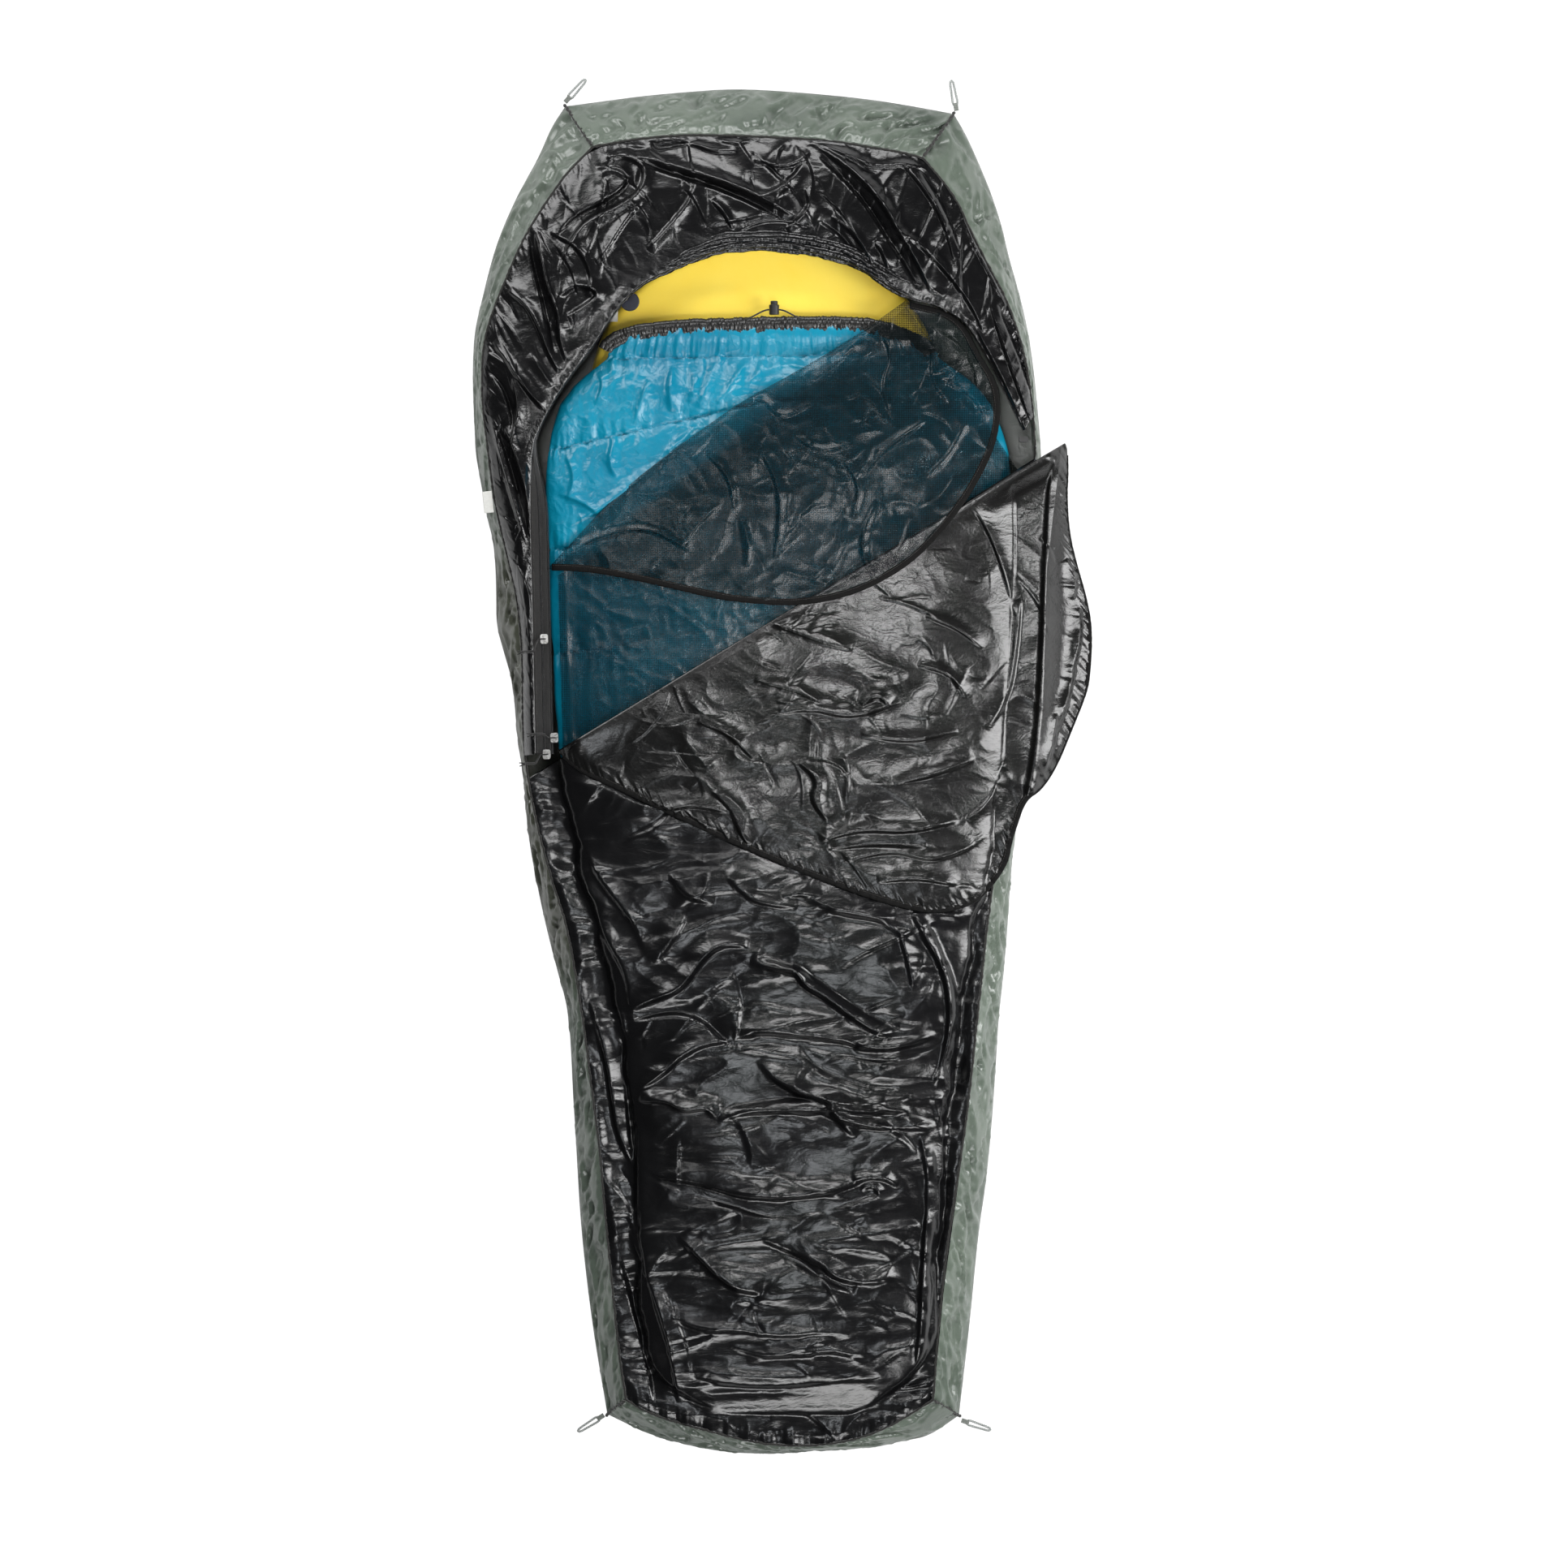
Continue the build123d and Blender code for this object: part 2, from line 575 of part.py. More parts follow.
# ----------------------------------------------------- zip sliders and pulls
def slider():
    """Two plates joined by a post, side lips, and a bridge on top."""
    plate = Box(SLIDER_WIDTH, SLIDER_LENGTH, 1.1)
    plate = fillet(plate.edges().filter_by(Axis.Z), 3.2)
    post = Pos(0, 4.6, 0) * Box(2.0, 3.6, 4.2)
    post = fillet(post.edges().filter_by(Axis.Z), 0.9)
    bridge = Pos(0, 0, 4.3) * (Box(1.2, 9.0, 3.6) - Pos(0, 0, -0.5) * Box(4.0, 6.4, 2.6))
    body = Pos(0, 0, 2.0) * plate + Pos(0, 0, -2.0) * plate + post + bridge
    for side in (-1, 1):
        for z in (1.15, -1.15):
            lip = Box(1.0, SLIDER_LENGTH - 7.0, 0.9)
            body = body + Pos(side * (SLIDER_WIDTH / 2 - 0.5), 0, z) * lip
    return body


def pull_cord(knot_y, knot_z):
    """Cord looped round the slider's bridge, both strands ending in a knot."""
    loop_z, loop_radius = 5.6, 1.9
    lower, upper = [], []
    for k in range(7):
        t = k / 6
        ease = min(1.0, 2.2 * t)
        ease = ease * ease * (3 - 2 * ease)
        x = lerp(-7.5, -33.0, t)
        lower.append((x, lerp(0.0, knot_y - 1.2, ease), lerp(3.75, knot_z, ease)))
        upper.append((x, lerp(0.0, knot_y + 1.2, ease), lerp(6.6, knot_z, ease)))
    arc = []
    for k in range(9):
        angle = math.radians(-90 + 180 * k / 8)
        arc.append((loop_radius * math.cos(angle), 0.0, loop_z + loop_radius * math.sin(angle)))
    points = lower[::-1] + [(-3.5, 0.0, 3.7)] + arc + [(-3.5, 0.0, 7.3)] + upper
    knot = Pos(-35.0, knot_y - 0.5, knot_z) * Sphere(3.4)
    return Compound(children=[cord(points, PULL_RADIUS) - knot, knot])


# name, y, distance inside the storm track, z, knot y and z from the slider
SLIDERS = [
    ("storm_upper", 207.0, 0.0, ZIP_Z, -20.0, 8.0),
    ("storm_lower", ZIP_FOOT_Y, 0.0, ZIP_Z, -14.0, 8.0),
    ("net", 52.0, NET_ZIP_IN, NET_ZIP_Z, 6.0, 12.0)]
for name, y, inward, z, knot_y, knot_z in SLIDERS:
    place = Location((lerp(ZIP_X0, ZIP_X1, y / ZIP_Y1) + inward, y, z), (0, 0, ZIP_ANGLE))
    write(name + "_slider", place * slider())
    write(name + "_pull_cord", place * pull_cord(knot_y, knot_z))


# --------------------------------------------------------------- stake loops
def stake_loop():
    """Cord loop on the ground plane, pointing along +X."""
    half = LOOP_WIDTH / 2
    path = Polyline((0, -half + 2), (0, half - 2), (3, half), (LOOP_LENGTH - 4, 3.2),
                    (LOOP_LENGTH, 0), (LOOP_LENGTH - 4, -3.2), (3, -half), close=True)
    path = fillet(path.vertices(), 1.8)
    section = Plane(origin=(0, 0, 0), x_dir=(1, 0, 0), z_dir=(0, 1, 0)) * Circle(LOOP_RADIUS)
    return sweep(section, path=path, transition=Transition.ROUND)


def loop_anchor():
    """Folded webbing tab that holds the loop's root cord."""
    tab = Pos(-1.5, 0, 0) * Box(9.0, 7.0, 4.2)
    return tab - Rot(90, 0, 0) * Cylinder(LOOP_RADIUS + 0.35, 20)


# corner, x, y, angle from +X
STAKE_LOOPS = [
    ("head_left", -318, 1062, 48), ("head_right", 291, 1051, 100),
    ("foot_left", -272, -1021, 212), ("foot_right", 310, -1027, 342)]
anchors = []
for name, x, y, angle in STAKE_LOOPS:
    place = Location((x, y, 2.4), (0, 0, angle))
    write("stake_loop_" + name, place * stake_loop())
    anchors.append(place * loop_anchor())
write("loop_anchor_tabs", Compound(children=anchors))

# blank woven tag at the left seam
TAG = [[(-437.5, 440.0, 88.0), (-434.0, 406.0, 88.0)],
       [(-451.5, 438.0, 83.0), (-448.0, 404.5, 83.0)]]
write("woven_tag", sheet(TAG, 0.6))


# ------------------------------------------------------------------ mattress
def mattress_shell():
    outline = resample(MATTRESS + MATTRESS[:1], 73)[:-1][::-1]    # counter-clockwise
    levels = [      # z, inset from the outline
        (MATTRESS_Z0, 16.0), (MATTRESS_Z0 + 5, 6.0), (MATTRESS_Z0 + 14, 0.8),
        (MATTRESS_Z0 + 26, 0.0),
        (MATTRESS_Z1 - 14, 0.8), (MATTRESS_Z1 - 5, 6.0), (MATTRESS_Z1, 16.0)]
    return tube([at_height(offset(outline, inset, closed=True), z) for z, inset in levels])


def valve_body():
    """Open cup with a hinge block on its left."""
    z = MATTRESS_Z1 + 4.0
    body = Pos(VALVE_X, VALVE_Y, z) * Cylinder(VALVE_RADIUS, 6.0)
    body = fillet(body.edges().group_by(Axis.Z)[0], 0.8)
    body = body - Pos(VALVE_X, VALVE_Y, z + 1.0) * Cylinder(8.0, 6.0)
    return body + Pos(VALVE_X - 18.5, VALVE_Y, z) * Box(8.0, 8.0, 6.0)


def valve_cap():
    z = MATTRESS_Z1 + 9.3
    cap = Pos(VALVE_X, VALVE_Y, z) * Cylinder(VALVE_RADIUS, 4.0)
    cap = fillet(cap.edges().group_by(Axis.Z)[-1], 1.2)
    return cap + Pos(VALVE_X - 17.0, VALVE_Y, z) * Box(8.0, 6.0, 2.4)


write("mattress_shell", mattress_shell())
write("mattress_valve_body", valve_body())
write("mattress_valve_cap", valve_cap())
write("mattress_tag", Pos(-247.0, 716.0, 54.5) * Rot(0, -20, 0) * Box(12.0, 17.0, 0.8))


# -------------------------------------------------------------- sleeping bag
def swell(value):
    """Cosine or sine made slightly fuller, for a squarer section."""
    return math.copysign(abs(value) ** 0.85, value)


def bag_section(y):
    left, right, top = (value_at(curve, y) for curve in (BAG_LEFT, BAG_RIGHT, BAG_CREST))
    flatten = 1.0           # the section gets flatter at both ends
    if y < -940:
        flatten = lerp(0.62, 1.0, ((y + 1000) / 60.0) ** 0.6)
    if y > 605:
        flatten = lerp(1.0, 0.55, (y - 605) / 50.0)
    middle = min(BAG_MID, BAG_Z0 + (top - BAG_Z0) * 0.5)
    if y <= WALL_DROP_Y:
        middle = lerp(middle, BAG_MID_FOOT, min((WALL_DROP_Y - y) / 400, 1.0))
    ring = []
    for angle in turn_angles(22):
        sine = math.sin(angle)
        height = (top - middle) if sine > 0 else (middle - BAG_Z0)
        x = (left + right) / 2 + (right - left) / 2 * swell(math.cos(angle))
        ring.append((x, y, middle + swell(sine) * height * flatten))
    return ring


def bag_hem():
    """Hem of the bag's mouth, a flattened roll thinner at its ends."""
    line = resample(HEM, 34)
    last = len(line) - 1
    rings = []
    for k, (x, y) in enumerate(line):
        before, after = line[max(k - 1, 0)], line[min(k + 1, last)]
        tx, ty = unit(after[0] - before[0], after[1] - before[1])
        taper = math.sin(math.pi * (0.12 + 0.76 * k / last)) ** 0.4
        ring = []
        for angle in turn_angles(10):
            out = 13 * taper * math.cos(angle)
            ring.append((x - ty * out, y + tx * out, HEM_Z + 10.0 * taper * math.sin(angle)))
        rings.append(ring)
    return tube(rings)


def cord_lock_barrel():
    """Hollow barrel along Y with a cross hole for the cord."""
    barrel = Pos(LOCK_X, LOCK_Y, LOCK_Z) * (Rot(90, 0, 0) * Cylinder(8.0, 16.0))
    barrel = fillet(barrel.edges(), 1.2)
    barrel = barrel - Pos(LOCK_X, LOCK_Y + 2.0, LOCK_Z) * (Rot(90, 0, 0) * Cylinder(6.2, 14.0))
    return barrel - Pos(LOCK_X, LOCK_Y, LOCK_Z) * (Rot(0, 90, 0) * Cylinder(2.6, 40.0))


def cord_lock_button():
    button = Pos(LOCK_X, LOCK_Y + 6.5, LOCK_Z) * (Rot(90, 0, 0) * Cylinder(5.6, 15.0))
    button = fillet(button.edges().group_by(Axis.Y)[-1], 1.6)
    return button - Pos(LOCK_X, LOCK_Y + 1.0, LOCK_Z) * Box(30.0, 8.6, 5.2)


def cord_lock_spring():
    """Three turns along Y."""
    radius, length = 3.6, 3.0
    turns = [(LOCK_X + radius * math.cos(angle),
              LOCK_Y - 4.5 + length * angle / (6 * math.pi),
              LOCK_Z + radius * math.sin(angle)) for angle in turn_angles(12, 37)]
    return cord(turns, 0.35, 6)


def bag_drawcord():
    """Cord from the hem through the cord lock, the same on both sides."""
    half = [(12, LOCK_Y, LOCK_Z), (24, 724, 84), (40, 722, 87), (60, 720, 88)]
    points = ([(LOCK_X - dx, y, z) for dx, y, z in half[::-1]] + [(LOCK_X, LOCK_Y, LOCK_Z)]
              + [(LOCK_X + dx, y, z) for dx, y, z in half])
    return cord(resample(points, 24), 1.3)


write("sleeping_bag_shell", tube([bag_section(y) for y in BAG_SECTIONS]))
write("sleeping_bag_hem", bag_hem())
write("cord_lock_barrel", cord_lock_barrel())
write("cord_lock_button", cord_lock_button())
write("cord_lock_spring", cord_lock_spring())
write("bag_drawcord", bag_drawcord())
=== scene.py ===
"""A bivy sack lying open on its floor, with a mattress and a sleeping bag in it.

The head end points to +Y, the sack's left side is -X and the ground is z = 0.  Lengths are
in millimetres and turn to metres when a mesh is built.  Both doors, storm and net, are
unzipped along the left and round the head, and lie folded back over the right side.
"""
import math

import bmesh
import bpy
import numpy as np
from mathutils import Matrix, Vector
from mathutils.bvhtree import BVHTree


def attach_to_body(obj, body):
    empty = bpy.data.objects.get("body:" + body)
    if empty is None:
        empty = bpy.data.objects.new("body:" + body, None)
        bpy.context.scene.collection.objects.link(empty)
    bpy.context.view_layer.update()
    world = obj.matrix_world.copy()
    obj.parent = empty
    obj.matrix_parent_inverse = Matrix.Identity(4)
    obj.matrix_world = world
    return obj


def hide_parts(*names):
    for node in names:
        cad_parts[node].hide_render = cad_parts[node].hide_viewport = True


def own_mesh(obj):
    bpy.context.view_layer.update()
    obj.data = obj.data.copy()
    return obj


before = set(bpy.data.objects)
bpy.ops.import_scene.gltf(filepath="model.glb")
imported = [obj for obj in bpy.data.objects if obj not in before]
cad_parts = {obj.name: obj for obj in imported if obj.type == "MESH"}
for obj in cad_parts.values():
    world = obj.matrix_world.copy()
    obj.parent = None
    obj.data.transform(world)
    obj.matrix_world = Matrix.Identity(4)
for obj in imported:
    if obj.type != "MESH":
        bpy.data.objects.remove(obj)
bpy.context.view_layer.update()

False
MM = 0.001

# ---------------------------------------------------------------- outlines, (x, y)
# where the tub walls meet the ground
OUT_LEFT = [
    (-324, 1048), (-346, 1016), (-365, 970), (-385, 934), (-404, 899), (-431, 836), (-445, 787),
    (-455, 745), (-467, 696), (-470, 646), (-470, 599), (-467, 534), (-466, 502), (-458, 458),
    (-447, 397), (-438, 365), (-434, 320), (-433, 273), (-433, 230), (-421, 187), (-406, 136),
    (-401, 61), (-389, -14), (-384, -90), (-376, -141), (-366, -192), (-355, -243), (-337, -314),
    (-320, -374), (-315, -439), (-312, -512), (-308, -570), (-301, -700), (-291, -799),
    (-278, -896), (-261, -995), (-258, -1014)]
OUT_RIGHT = [
    (288, 1036), (308, 1002), (328, 957), (347, 911), (364, 859), (374, 813), (387, 768),
    (399, 722), (408, 676), (415, 625), (421, 563), (425, 512), (428, 448), (428, 384),
    (425, 320), (421, 243), (416, 166), (408, 90), (399, 13), (390, -64), (379, -142),
    (372, -259), (365, -333), (358, -397), (352, -504), (341, -635), (326, -733), (314, -864),
    (296, -1016)]
OUT_HEAD = [
    (-324, 1048), (-271, 1055), (-205, 1064), (-140, 1070), (-59, 1076), (34, 1071),
    (151, 1060), (230, 1047), (288, 1036)]
OUT_FOOT = [
    (-258, -1014), (-193, -1046), (-137, -1061), (-82, -1073), (-17, -1077), (49, -1071),
    (147, -1068), (212, -1056), (251, -1048), (296, -1016)]
# where the tub walls meet the black top
SEAM_LEFT = [
    (-280, 980), (-320, 939), (-336, 918), (-369, 869), (-392, 829), (-417, 771), (-437, 722),
    (-451, 673), (-454, 625), (-453, 576), (-447, 525), (-440, 468), (-435, 429), (-425, 384),
    (-410, 321), (-399, 273), (-393, 220), (-390, 173), (-390, 99), (-388, 37), (-379, -26),
    (-366, -90), (-346, -166), (-320, -243), (-297, -374), (-285, -471), (-278, -524),
    (-268, -603), (-260, -700), (-250, -799), (-241, -896), (-228, -988)]
SEAM_RIGHT = [
    (238, 963), (272, 924), (294, 892), (308, 860), (328, 819), (347, 783), (369, 742),
    (387, 692), (399, 650), (407, 602), (412, 557), (415, 512), (413, 448), (410, 384),
    (404, 320), (399, 243), (392, 166), (384, 90), (374, 13), (365, -64), (353, -142),
    (339, -247), (332, -317), (323, -397), (310, -524), (292, -648), (274, -765), (261, -896),
    (255, -988)]
SEAM_HEAD = [
    (-280, 980), (-219, 991), (-156, 998), (-78, 998), (13, 995), (99, 989), (154, 980),
    (202, 972), (238, 963)]
SEAM_FOOT = [
    (-228, -988), (-192, -1009), (-147, -1024), (-95, -1038), (-45, -1051), (9, -1060),
    (81, -1060), (147, -1047), (198, -1024), (255, -988)]
# free edge of the storm door: over the bag, then where it hangs past the right wall
STORM_EDGE = [
    (-333, 29), (-303, 1), (-254, -22), (-181, -56), (-115, -88), (-26, -128), (64, -165),
    (152, -198), (211, -215), (252, -222), (287, -218), (323, -206), (352, -174), (372, -142),
    (377, -112), (384, -89), (399, -45)]
STORM_HANG = [
    (424, -30), (449, 8), (472, 64), (493, 115), (501, 144), (505, 223), (495, 275), (480, 324),
    (468, 373), (464, 429), (466, 467), (465, 505)]
STORM_FOLD = [(-333.0, 29.0), (463.0, 512.0)]
NET_EDGE = [
    (-352, 316), (-320, 316), (-271, 312), (-205, 299), (-140, 284), (-75, 269), (-26, 264),
    (30, 260), (86, 266), (146, 283), (218, 324), (266, 373), (304, 422), (334, 474),
    (353, 519), (360, 572), (353, 613), (326, 654), (306, 696), (278, 721), (211, 736)]
NET_FOLD = [
    (-345.6, 320), (-257, 416), (-192, 472), (-108, 534), (-42, 580), (41, 625), (134, 681),
    (211.2, 736)]
BAG_HEM = [
    (-256, 673), (-221, 690), (-140, 698), (-74, 699), (-6, 701), (64, 702), (128, 702),
    (173, 697), (218, 681), (246, 668)]
PAD_OUTLINE = [
    (-6, 847), (70, 837), (141, 809), (198, 765), (237, 710), (262, 653), (273, 576),
    (275, 320), (262, -64), (243, -448), (215, -806), (192, -934), (141, -975), (-6, -988),
    (-154, -975), (-205, -934), (-228, -806), (-256, -448), (-275, -64), (-288, 320),
    (-287, 550), (-284, 627), (-262, 698), (-224, 755), (-160, 806), (-83, 837)]
# the hood's free edge over the head
RIM_ARC = [
    (-360, 548), (-335, 593), (-311, 627), (-285, 660), (-260, 700), (-230, 742), (-196, 771),
    (-147, 792), (-108, 809), (-78, 818), (-32, 822), (13, 822), (67, 814), (109, 804),
    (143, 788), (182, 763), (215, 744), (259, 733), (305, 707), (330, 668), (356, 622),
    (380, 573), (398, 535)]
# y, left x, right x, crown z
BAG_STATIONS = [
    (-1000, -160, 208, 88), (-960, -190, 238, 96), (-832, -201, 253, 102),
    (-704, -205, 259, 104), (-576, -211, 266, 106), (-448, -224, 275, 109),
    (-320, -253, 301, 113), (-192, -288, 333, 118), (-64, -314, 352, 121),
    (26, -333, 362, 122), (192, -345, 374, 122), (320, -350, 380, 121), (448, -354, 378, 118),
    (499, -352, 373, 115), (534, -344, 364, 112), (576, -330, 346, 108), (612, -303, 316, 103),
    (637, -271, 280, 98), (655, -250, 255, 92)]

# heights of the zips, and the straight zip along the left side
ZIP_Z = 121.0
NET_ZIP_Z = 116.0
SIDE_ZIP_X_START = -351.0  # at y = 0
SIDE_ZIP_X_END = -362.0    # at y = SIDE_ZIP_END_Y
SIDE_ZIP_END_Y = 499.0

# --------------------------- creases: (height, width, x, y, x, y, ...), height < 0 a valley
FOLDS_FOOT = [
    (7, 9, -219, -374, -188, -357, -143, -343, -112, -297, -81, -270, -36, -274),
    (-6, 8, -215, -389, -158, -374, -112, -381, -74, -419, -59, -429),
    (6, 9, -59, -419, -20, -408, 41, -412, 102, -419, 163, -436, 209, -431, 258, -412),
    (-5, 8, -51, -432, 10, -424, 87, -436, 155, -454, 201, -451),
    (7, 8, -32, -301, 10, -312, 41, -312, 52, -335, 87, -354, 132, -389, 186, -418),
    (-5, 8, -20, -290, 26, -301, 48, -309, 87, -335, 148, -381, 201, -404),
    (6, 8, -211, -500, -173, -477, -143, -446, -104, -426, -59, -422),
    (6, 8, -210, -517, -165, -516, -135, -534, -104, -525, -83, -543),
    (7, 10, -83, -548, -51, -535, 10, -530, 79, -532, 106, -525, 132, -534, 216, -531),
    (-5, 8, -81, -530, -36, -520, 18, -511, 79, -516),
    (5, 7, 79, -534, 113, -548, 148, -557, 201, -560, 243, -557),
    (-4, 7, 41, -419, 56, -450, 87, -473, 148, -496, 201, -496),
    (5, 8, -20, -454, 10, -488, 71, -513, 117, -522, 178, -523),
    (8, 9, -204, -612, -181, -638, -143, -642, -104, -649, -51, -664, 3, -667, 56, -667,
     117, -652, 155, -637),
    (-8, 9, -196, -632, -143, -653, -104, -664, -43, -687, 10, -697, 79, -688, 140, -671,
     171, -660),
    (5, 5, 129, -642, 155, -637, 182, -639, 198, -652),
    (4, 4, 140, -658, 159, -649, 172, -664),
    (5, 9, -143, -731, -112, -763, -81, -794, -51, -813, -13, -818),
    (5, 9, -13, -733, 33, -755, 79, -771, 102, -794, 148, -803, 194, -794),
    (-4, 8, 3, -748, 48, -775, 87, -797, 132, -817),
    (4, 9, -158, -855, -104, -878, -51, -875, 10, -887, 79, -878, 132, -885),
    (4, 8, -66, -901, -20, -916, 41, -917, 87, -908, 148, -916),
    (3, 8, -127, -946, -66, -962, 10, -965, 87, -958, 163, -954),
    (6, 10, 224, -221, 247, -267, 274, -312, 284, -374, 278, -435, 258, -496),
    (-6, 10, 243, -228, 274, -282, 297, -343, 300, -419, 281, -496, 266, -572),
    (4, 9, -303, -129, -284, -190, -265, -251, -227, -312, -219, -374),
    (4, 9, -322, -76, -295, -114, -265, -175, -219, -228, -196, -282),
    (-5, 9, -234, -419, -223, -496, -219, -572, -205, -629, -188, -679),
    (5, 8, -284, -358, -261, -435, -248, -511, -240, -572, -210, -629),
    (4, 8, -219, -725, -192, -801, -165, -878, -149, -954, -143, -992),
    (-5, 9, -234, -763, -211, -847, -188, -939, -181, -992),
    (5, 9, 236, -572, 249, -633, 245, -710, 239, -801, 236, -878, 228, -954),
    (-5, 9, 258, -572, 266, -649, 262, -725, 255, -839, 243, -931),
    (4, 8, 87, -511, 102, -542, 132, -572), (-4, 7, 163, -542, 201, -565, 232, -595),
    (3, 6, 201, -251, 216, -297, 224, -343),
    (3, 8, -158, -160, -143, -183, -127, -198, -89, -206),
    (3, 8, -66, -167, -43, -190, -20, -206, 41, -213),
    (3, 8, 41, -190, 87, -213, 132, -228, 194, -228)]
FOLDS_HOOD = [
    (8, 9, -213, 966, -155, 949, -104, 934, -53, 917, -9, 896, 33, 873),
    (-6, 8, -200, 953, -143, 934, -85, 917, -28, 891, 17, 868),
    (8, 9, 66, 987, 99, 964, 138, 935, 176, 891, 201, 846, 227, 805, 252, 754),
    (-7, 8, 77, 964, 112, 934, 150, 891, 182, 840, 208, 801, 233, 757),
    (5, 8, 52, 956, 39, 934, 10, 910, -20, 902), (5, 7, 55, 915, 64, 887, 42, 864, 24, 849),
    (4, 7, -117, 930, -125, 897, -143, 872, -178, 833, -194, 817),
    (6, 8, -260, 964, -225, 966, -195, 948, -201, 910, -244, 881, -289, 864, -320, 821,
     -332, 782),
    (-5, 8, -276, 948, -232, 948, -219, 922, -257, 891, -302, 872, -340, 833),
    (5, 7, -92, 896, -74, 877, -59, 851), (5, 8, 96, 870, 122, 852, 144, 827, 160, 795),
    (-4, 7, 74, 864, 106, 846, 131, 814, 144, 795), (5, 7, 163, 830, 177, 813, 185, 787),
    (6, 8, 208, 953, 240, 916, 265, 878, 279, 840, 288, 801),
    (-5, 8, 233, 948, 268, 897, 290, 846, 298, 814),
    (6, 8, 290, 910, 304, 865, 322, 821, 348, 776, 361, 744),
    (6, 9, 345, 731, 362, 681, 380, 630, 396, 585, 413, 540),
    (-6, 9, 357, 735, 380, 681, 399, 630, 415, 572),
    (5, 8, 325, 693, 341, 655, 361, 610, 383, 566),
    (5, 8, 201, 846, 233, 827, 278, 782, 316, 731, 335, 687),
    (7, 9, -369, 846, -358, 801, -351, 763, -332, 719, -332, 681, -320, 642),
    (-6, 9, -379, 846, -372, 795, -358, 744, -346, 693, -340, 655),
    (6, 8, -413, 754, -381, 731, -362, 693, -348, 655, -332, 626),
    (5, 8, -346, 846, -308, 827, -289, 801, -279, 770, -289, 744),
    (6, 8, -332, 744, -308, 763, -276, 757, -270, 744, -295, 725, -320, 711),
    (4, 7, -276, 795, -251, 827, -232, 859, -200, 897),
    (5, 8, -436, 674, -404, 630, -378, 591, -346, 560),
    (-5, 8, -442, 630, -416, 598, -404, 553, -404, 528),
    (6, 8, -404, 617, -394, 572, -404, 528, -409, 489),
    (6, 9, -416, 540, -397, 489, -381, 432, -369, 368),
    (-6, 8, -429, 540, -407, 477, -391, 413, -375, 349),
    (5, 8, -439, 553, -423, 489, -404, 426, -388, 368),
    (5, 7, -315, 948, -289, 973, -244, 986, -194, 980),
    (-5, 7, -194, 994, -181, 977, -162, 980, -117, 989),
    (4, 7, -155, 993, -123, 986, -92, 973, -53, 973),
    (4, 7, 55, 986, 87, 983, 125, 964, 163, 948), (3, 7, -104, 999, -66, 986, -28, 989),
    (4, 8, -28, 961, 10, 948, 42, 954, 61, 973), (-3, 7, -53, 846, -15, 864, 29, 864, 61, 852),
    (4, 7, 138, 954, 176, 948, 214, 954, 252, 942), (3, 7, -92, 859, -53, 864, -15, 872)]
FOLDS_STORM = [
    (5, 9, 451, 509, 438, 448, 435, 371, 431, 316, 429, 230, 425, 141, 417, 38, 399, -64,
     387, -128),
    (4, 8, -32, 243, 26, 224, 77, 205, 128, 192), (3, 6, 294, 435, 333, 397, 365, 320, 384, 243),
    (4, 7, -230, -45, -179, -64, -128, -51, -64, -64),
    (5, 7, -90, -32, -58, -58, -45, -102, -32, -115), (5, 7, 45, 13, 77, -13, 64, -45, 90, -77),
    (4, 7, 13, 90, 64, 100, 128, 83, 205, 109), (4, 7, 141, 102, 166, 122, 186, 105),
    (4, 6, 192, -19, 256, -6, 320, 19), (4, 6, 77, -109, 141, -90, 218, -96, 294, -77),
    (4, 6, 115, -141, 192, -122, 256, -143, 320, -115),
    (-4, 6, 90, -122, 166, -113, 243, -118), (3, 6, 166, -173, 230, -166, 294, -179),
    (4, 7, 339, 64, 371, 115, 384, 192, 390, 269), (3, 6, 243, 243, 294, 224, 333, 192),
    (3, 6, 230, 166, 282, 154, 307, 115), (3, 6, -115, 77, -64, 58, -26, 19),
    (3, 6, -26, 141, 38, 128, 77, 109), (3, 7, 141, 58, 218, 45, 294, 64),
    (4, 7, 365, 6, 346, -45, 307, -77), (4, 6, 471, 154, 486, 205, 484, 256),
    (4, 6, 448, 64, 467, 115, 476, 166), (4, 6, 429, 0, 443, 45, 448, 90),
    (3, 6, 474, 269, 480, 307, 463, 333)]
FOLDS_NET = [
    (6, 6, -13, 499, 13, 448, 15, 397, 6, 333), (5, 5, 173, 691, 192, 653, 173, 602, 192, 550),
    (5, 5, 230, 704, 256, 666, 250, 614, 282, 576),
    (6, 5, 166, 422, 141, 371, 147, 320, 173, 294),
    (6, 5, 141, 461, 173, 499, 205, 525, 243, 550),
    (5, 5, 243, 704, 294, 678, 320, 640, 326, 589), (5, 5, 269, 614, 320, 589, 339, 550),
    (4, 5, -77, 576, -13, 589, 13, 550, 64, 576), (5, 5, 64, 614, 102, 640, 128, 666),
    (5, 5, -38, 320, -32, 358, -45, 397), (5, 5, -333, 333, -269, 371, -192, 384, -128, 346),
    (4, 5, 115, 397, 102, 333, 64, 294), (4, 5, 218, 397, 205, 346, 166, 320),
    (5, 5, 38, 525, 77, 499, 128, 512), (4, 4, 275, 730, 307, 704, 333, 666),
    (4, 4, -102, 499, -64, 461, -58, 410), (4, 4, 307, 550, 282, 499, 243, 461),
    (5, 5, 115, 486, 141, 448, 128, 397)]
